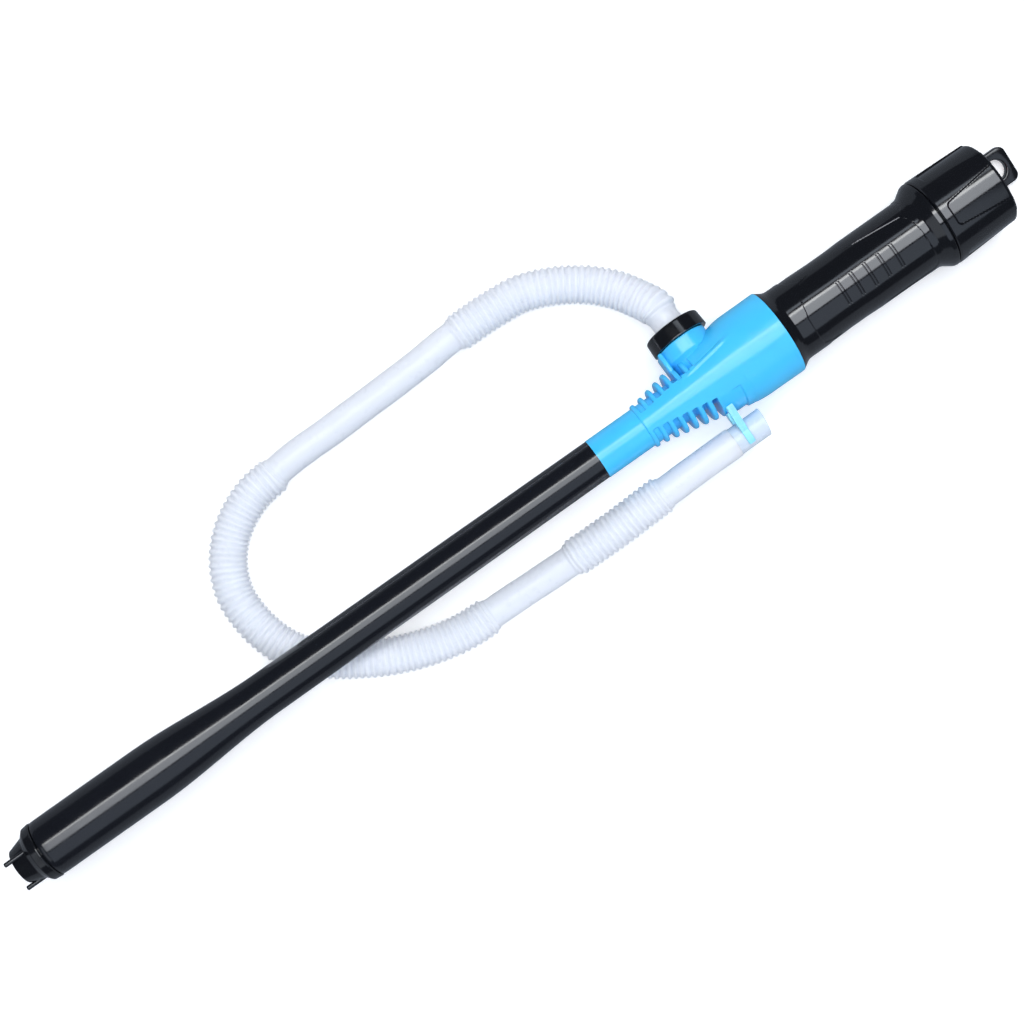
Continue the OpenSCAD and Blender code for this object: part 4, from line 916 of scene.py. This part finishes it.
# The outline ends this far from the axis
NEAR_AXIS = 0.02
button_line = outline([
    (BUTTON_END, BUTTON_BORE), (BUTTON_END, BUTTON_R, 0.2), (FACE_AT - 1.3, BUTTON_R),
    (FACE_AT - 1.3, FLANGE_R, 0.1), (FACE_AT - 0.1, FLANGE_R, 0.1), (FACE_AT - 0.1, BUTTON_R),
    (BUTTON_TOP - 0.1, BUTTON_R, 0.9), (BUTTON_TOP, 6.0, 8.0), (BUTTON_TOP, NEAR_AXIS),
    (BUTTON_UNDER, NEAR_AXIS), (BUTTON_UNDER, BUTTON_BORE)], 0.4)
button = turned("button", button_line, pump, 128)
give(button, "button_plastic")
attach(button, "button")
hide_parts("switch_button")


def lettering(name, word, size, centre, body):
    """A word standing a hair proud of the button, its top towards the hanging loop."""
    curve = bpy.data.curves.new(name, "FONT")
    curve.body = word
    curve.size = size
    curve.align_x = "CENTER"
    curve.align_y = "CENTER"
    curve.extrude = 0.06
    curve.offset = 0.03
    curve.resolution_u = 4
    temp = bpy.data.objects.new(name + "_curve", curve)
    bpy.context.scene.collection.objects.link(temp)
    depsgraph = bpy.context.evaluated_depsgraph_get()
    mesh = bpy.data.meshes.new_from_object(temp.evaluated_get(depsgraph))
    bpy.data.objects.remove(temp)
    mesh.name = name
    points = np.array([v.co[:] for v in mesh.vertices])
    # the word's x runs so that it reads from behind the face, and its y towards the loop
    placed = np.stack([BUTTON_TOP + points[:, 2] + 0.02, -points[:, 0], points[:, 1] + centre], axis=1)
    placed = pump(turned_about(placed, LOOP_TURN))
    mesh.vertices.foreach_set("co", placed.astype(np.float32).ravel())
    mesh.update()
    obj = bpy.data.objects.new(name, mesh)
    bpy.context.scene.collection.objects.link(obj)
    give(obj, "letter_paint")
    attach(obj, body)


lettering("word_on", "ON", 3.6, 3.2, "button")
lettering("word_off", "OFF", 3.6, -2.9, "button")

# The other pieces keep their solids, the impeller among them, with better finishes by their slots
for node in NODES.values():
    slots = node.material_slots
    if not slots:
        continue
    slot_name = slots[0].material.name.split(".")[0] if slots[0].material else ""
    slots[0].material = MATERIALS.get(slot_name, MATERIALS["black_satin"])

# Floor: it looks white to the camera, and in the pump's own shine it is dim, as if dark cards stood
# beside the pump
FLOOR_HALF, FLOOR_BELOW, FLOOR_GLOW = 20, 0.00015, 0.42
FLOOR_COLOUR = (0.86, 0.86, 0.86, 1.0)
FLOOR_IN_SHINE = (0.26, 0.29, 0.34, 1.0)


def floor_material():
    mat = bpy.data.materials.new("floor_white")
    mat.use_nodes = True
    nodes, links = mat.node_tree.nodes, mat.node_tree.links
    nodes.clear()
    out = nodes.new("ShaderNodeOutputMaterial")
    diffuse = nodes.new("ShaderNodeBsdfDiffuse")
    diffuse.inputs["Color"].default_value = FLOOR_COLOUR
    ray = nodes.new("ShaderNodeLightPath")
    seen = nodes.new("ShaderNodeMath")
    seen.operation = "MAXIMUM"
    links.new(ray.outputs["Is Camera Ray"], seen.inputs[0])
    links.new(ray.outputs["Is Transmission Ray"], seen.inputs[1])
    level = nodes.new("ShaderNodeMath")
    level.operation = "MULTIPLY"
    links.new(seen.outputs[0], level.inputs[0])
    level.inputs[1].default_value = FLOOR_GLOW
    glow = nodes.new("ShaderNodeEmission")
    links.new(level.outputs[0], glow.inputs["Strength"])
    both = nodes.new("ShaderNodeAddShader")
    links.new(diffuse.outputs[0], both.inputs[0])
    links.new(glow.outputs[0], both.inputs[1])
    dim = nodes.new("ShaderNodeEmission")
    dim.inputs["Color"].default_value = FLOOR_IN_SHINE
    choice = nodes.new("ShaderNodeMixShader")
    links.new(ray.outputs["Is Glossy Ray"], choice.inputs[0])
    links.new(both.outputs[0], choice.inputs[1])
    links.new(dim.outputs[0], choice.inputs[2])
    links.new(choice.outputs[0], out.inputs["Surface"])
    return mat


floor_mesh = bpy.data.meshes.new("floor")
floor_corners = [(x * FLOOR_HALF, y * FLOOR_HALF, 0) for x, y in ((-1, -1), (1, -1), (1, 1), (-1, 1))]
floor_mesh.from_pydata(floor_corners, [], [(0, 1, 2, 3)])
floor_mesh.materials.append(floor_material())
floor = bpy.data.objects.new("floor", floor_mesh)
bpy.context.scene.collection.objects.link(floor)
floor.location.z = -FLOOR_BELOW

# Sky: pale low down, and dark high up and in the pump's own shine
SKY_LOW, SKY_HIGH = (1.06, 1.07, 1.12, 1.0), (0.06, 0.066, 0.082, 1.0)
SKY_SPAN = (0.05, 0.55)


def studio_world():
    world = bpy.data.worlds.new("studio")
    world.use_nodes = True
    tree = world.node_tree
    nodes, links = tree.nodes, tree.links
    nodes.clear()
    out = nodes.new("ShaderNodeOutputWorld")
    sky = nodes.new("ShaderNodeBackground")
    coords = nodes.new("ShaderNodeTexCoord")
    split = nodes.new("ShaderNodeSeparateXYZ")
    links.new(coords.outputs["Generated"], split.inputs["Vector"])
    height = map_range(tree, split.outputs["Z"], SKY_SPAN, 0.0, 1.0)
    height.interpolation_type = "SMOOTHSTEP"
    ray = nodes.new("ShaderNodeLightPath")
    dark = nodes.new("ShaderNodeMath")
    dark.operation = "MAXIMUM"
    links.new(height.outputs["Result"], dark.inputs[0])
    links.new(ray.outputs["Is Glossy Ray"], dark.inputs[1])
    links.new(mixed(tree, dark.outputs[0], SKY_LOW, SKY_HIGH), sky.inputs["Color"])
    links.new(sky.outputs[0], out.inputs["Surface"])
    return world


bpy.context.scene.world = studio_world()


def softbox(name, centre, half_across, half_along, strength, colour):
    """A lamp panel over the pump: its long side follows the pump, and it faces the middle of it."""
    lamp = bpy.data.lights.new(name, "AREA")
    lamp.shape = "RECTANGLE"
    lamp.size, lamp.size_y = 2 * half_along, 2 * half_across
    lamp.color = colour
    # a panel of this size and power has this brightness face on
    lamp.energy = strength * math.pi * lamp.size * lamp.size_y
    obj = bpy.data.objects.new(name, lamp)
    bpy.context.scene.collection.objects.link(obj)
    centre = Vector(centre)
    z = (centre - Vector((0.0, 0.0, 0.02))).normalized()
    x = Vector((1.0, 0.0, 0.0))
    x = (x - x.dot(z) * z).normalized()
    y = z.cross(x)
    obj.matrix_world = Matrix(((x.x, y.x, z.x, centre.x), (x.y, y.y, z.y, centre.y),
                               (x.z, y.z, z.z, centre.z), (0, 0, 0, 1)))


# Reflected by the round pieces, three panels lie side by side: a bright strip, a wide one and a dim
# one. A fourth is for the rim of the nose, and a small one for the nut's end.
softbox("strip_panel", (0.10, 0.41, 1.30), 0.075, 0.80, 8.6, (0.98, 1.0, 1.01))
softbox("key_panel", (0.10, 0.035, 1.30), 0.295, 0.80, 3.9, (0.94, 0.99, 1.06))
softbox("fill_panel", (0.0, -0.80, 1.02), 0.52, 0.80, 0.66, (0.82, 0.94, 1.12))
softbox("end_panel", (-1.10, -0.35, 1.10), 0.75, 0.22, 0.65, (0.88, 0.95, 1.05))
softbox("nut_panel", (0.60, 0.70, 1.22), 0.09, 0.24, 1.7, (0.88, 0.98, 1.10))

bpy.context.scene.view_settings.view_transform = "Standard"
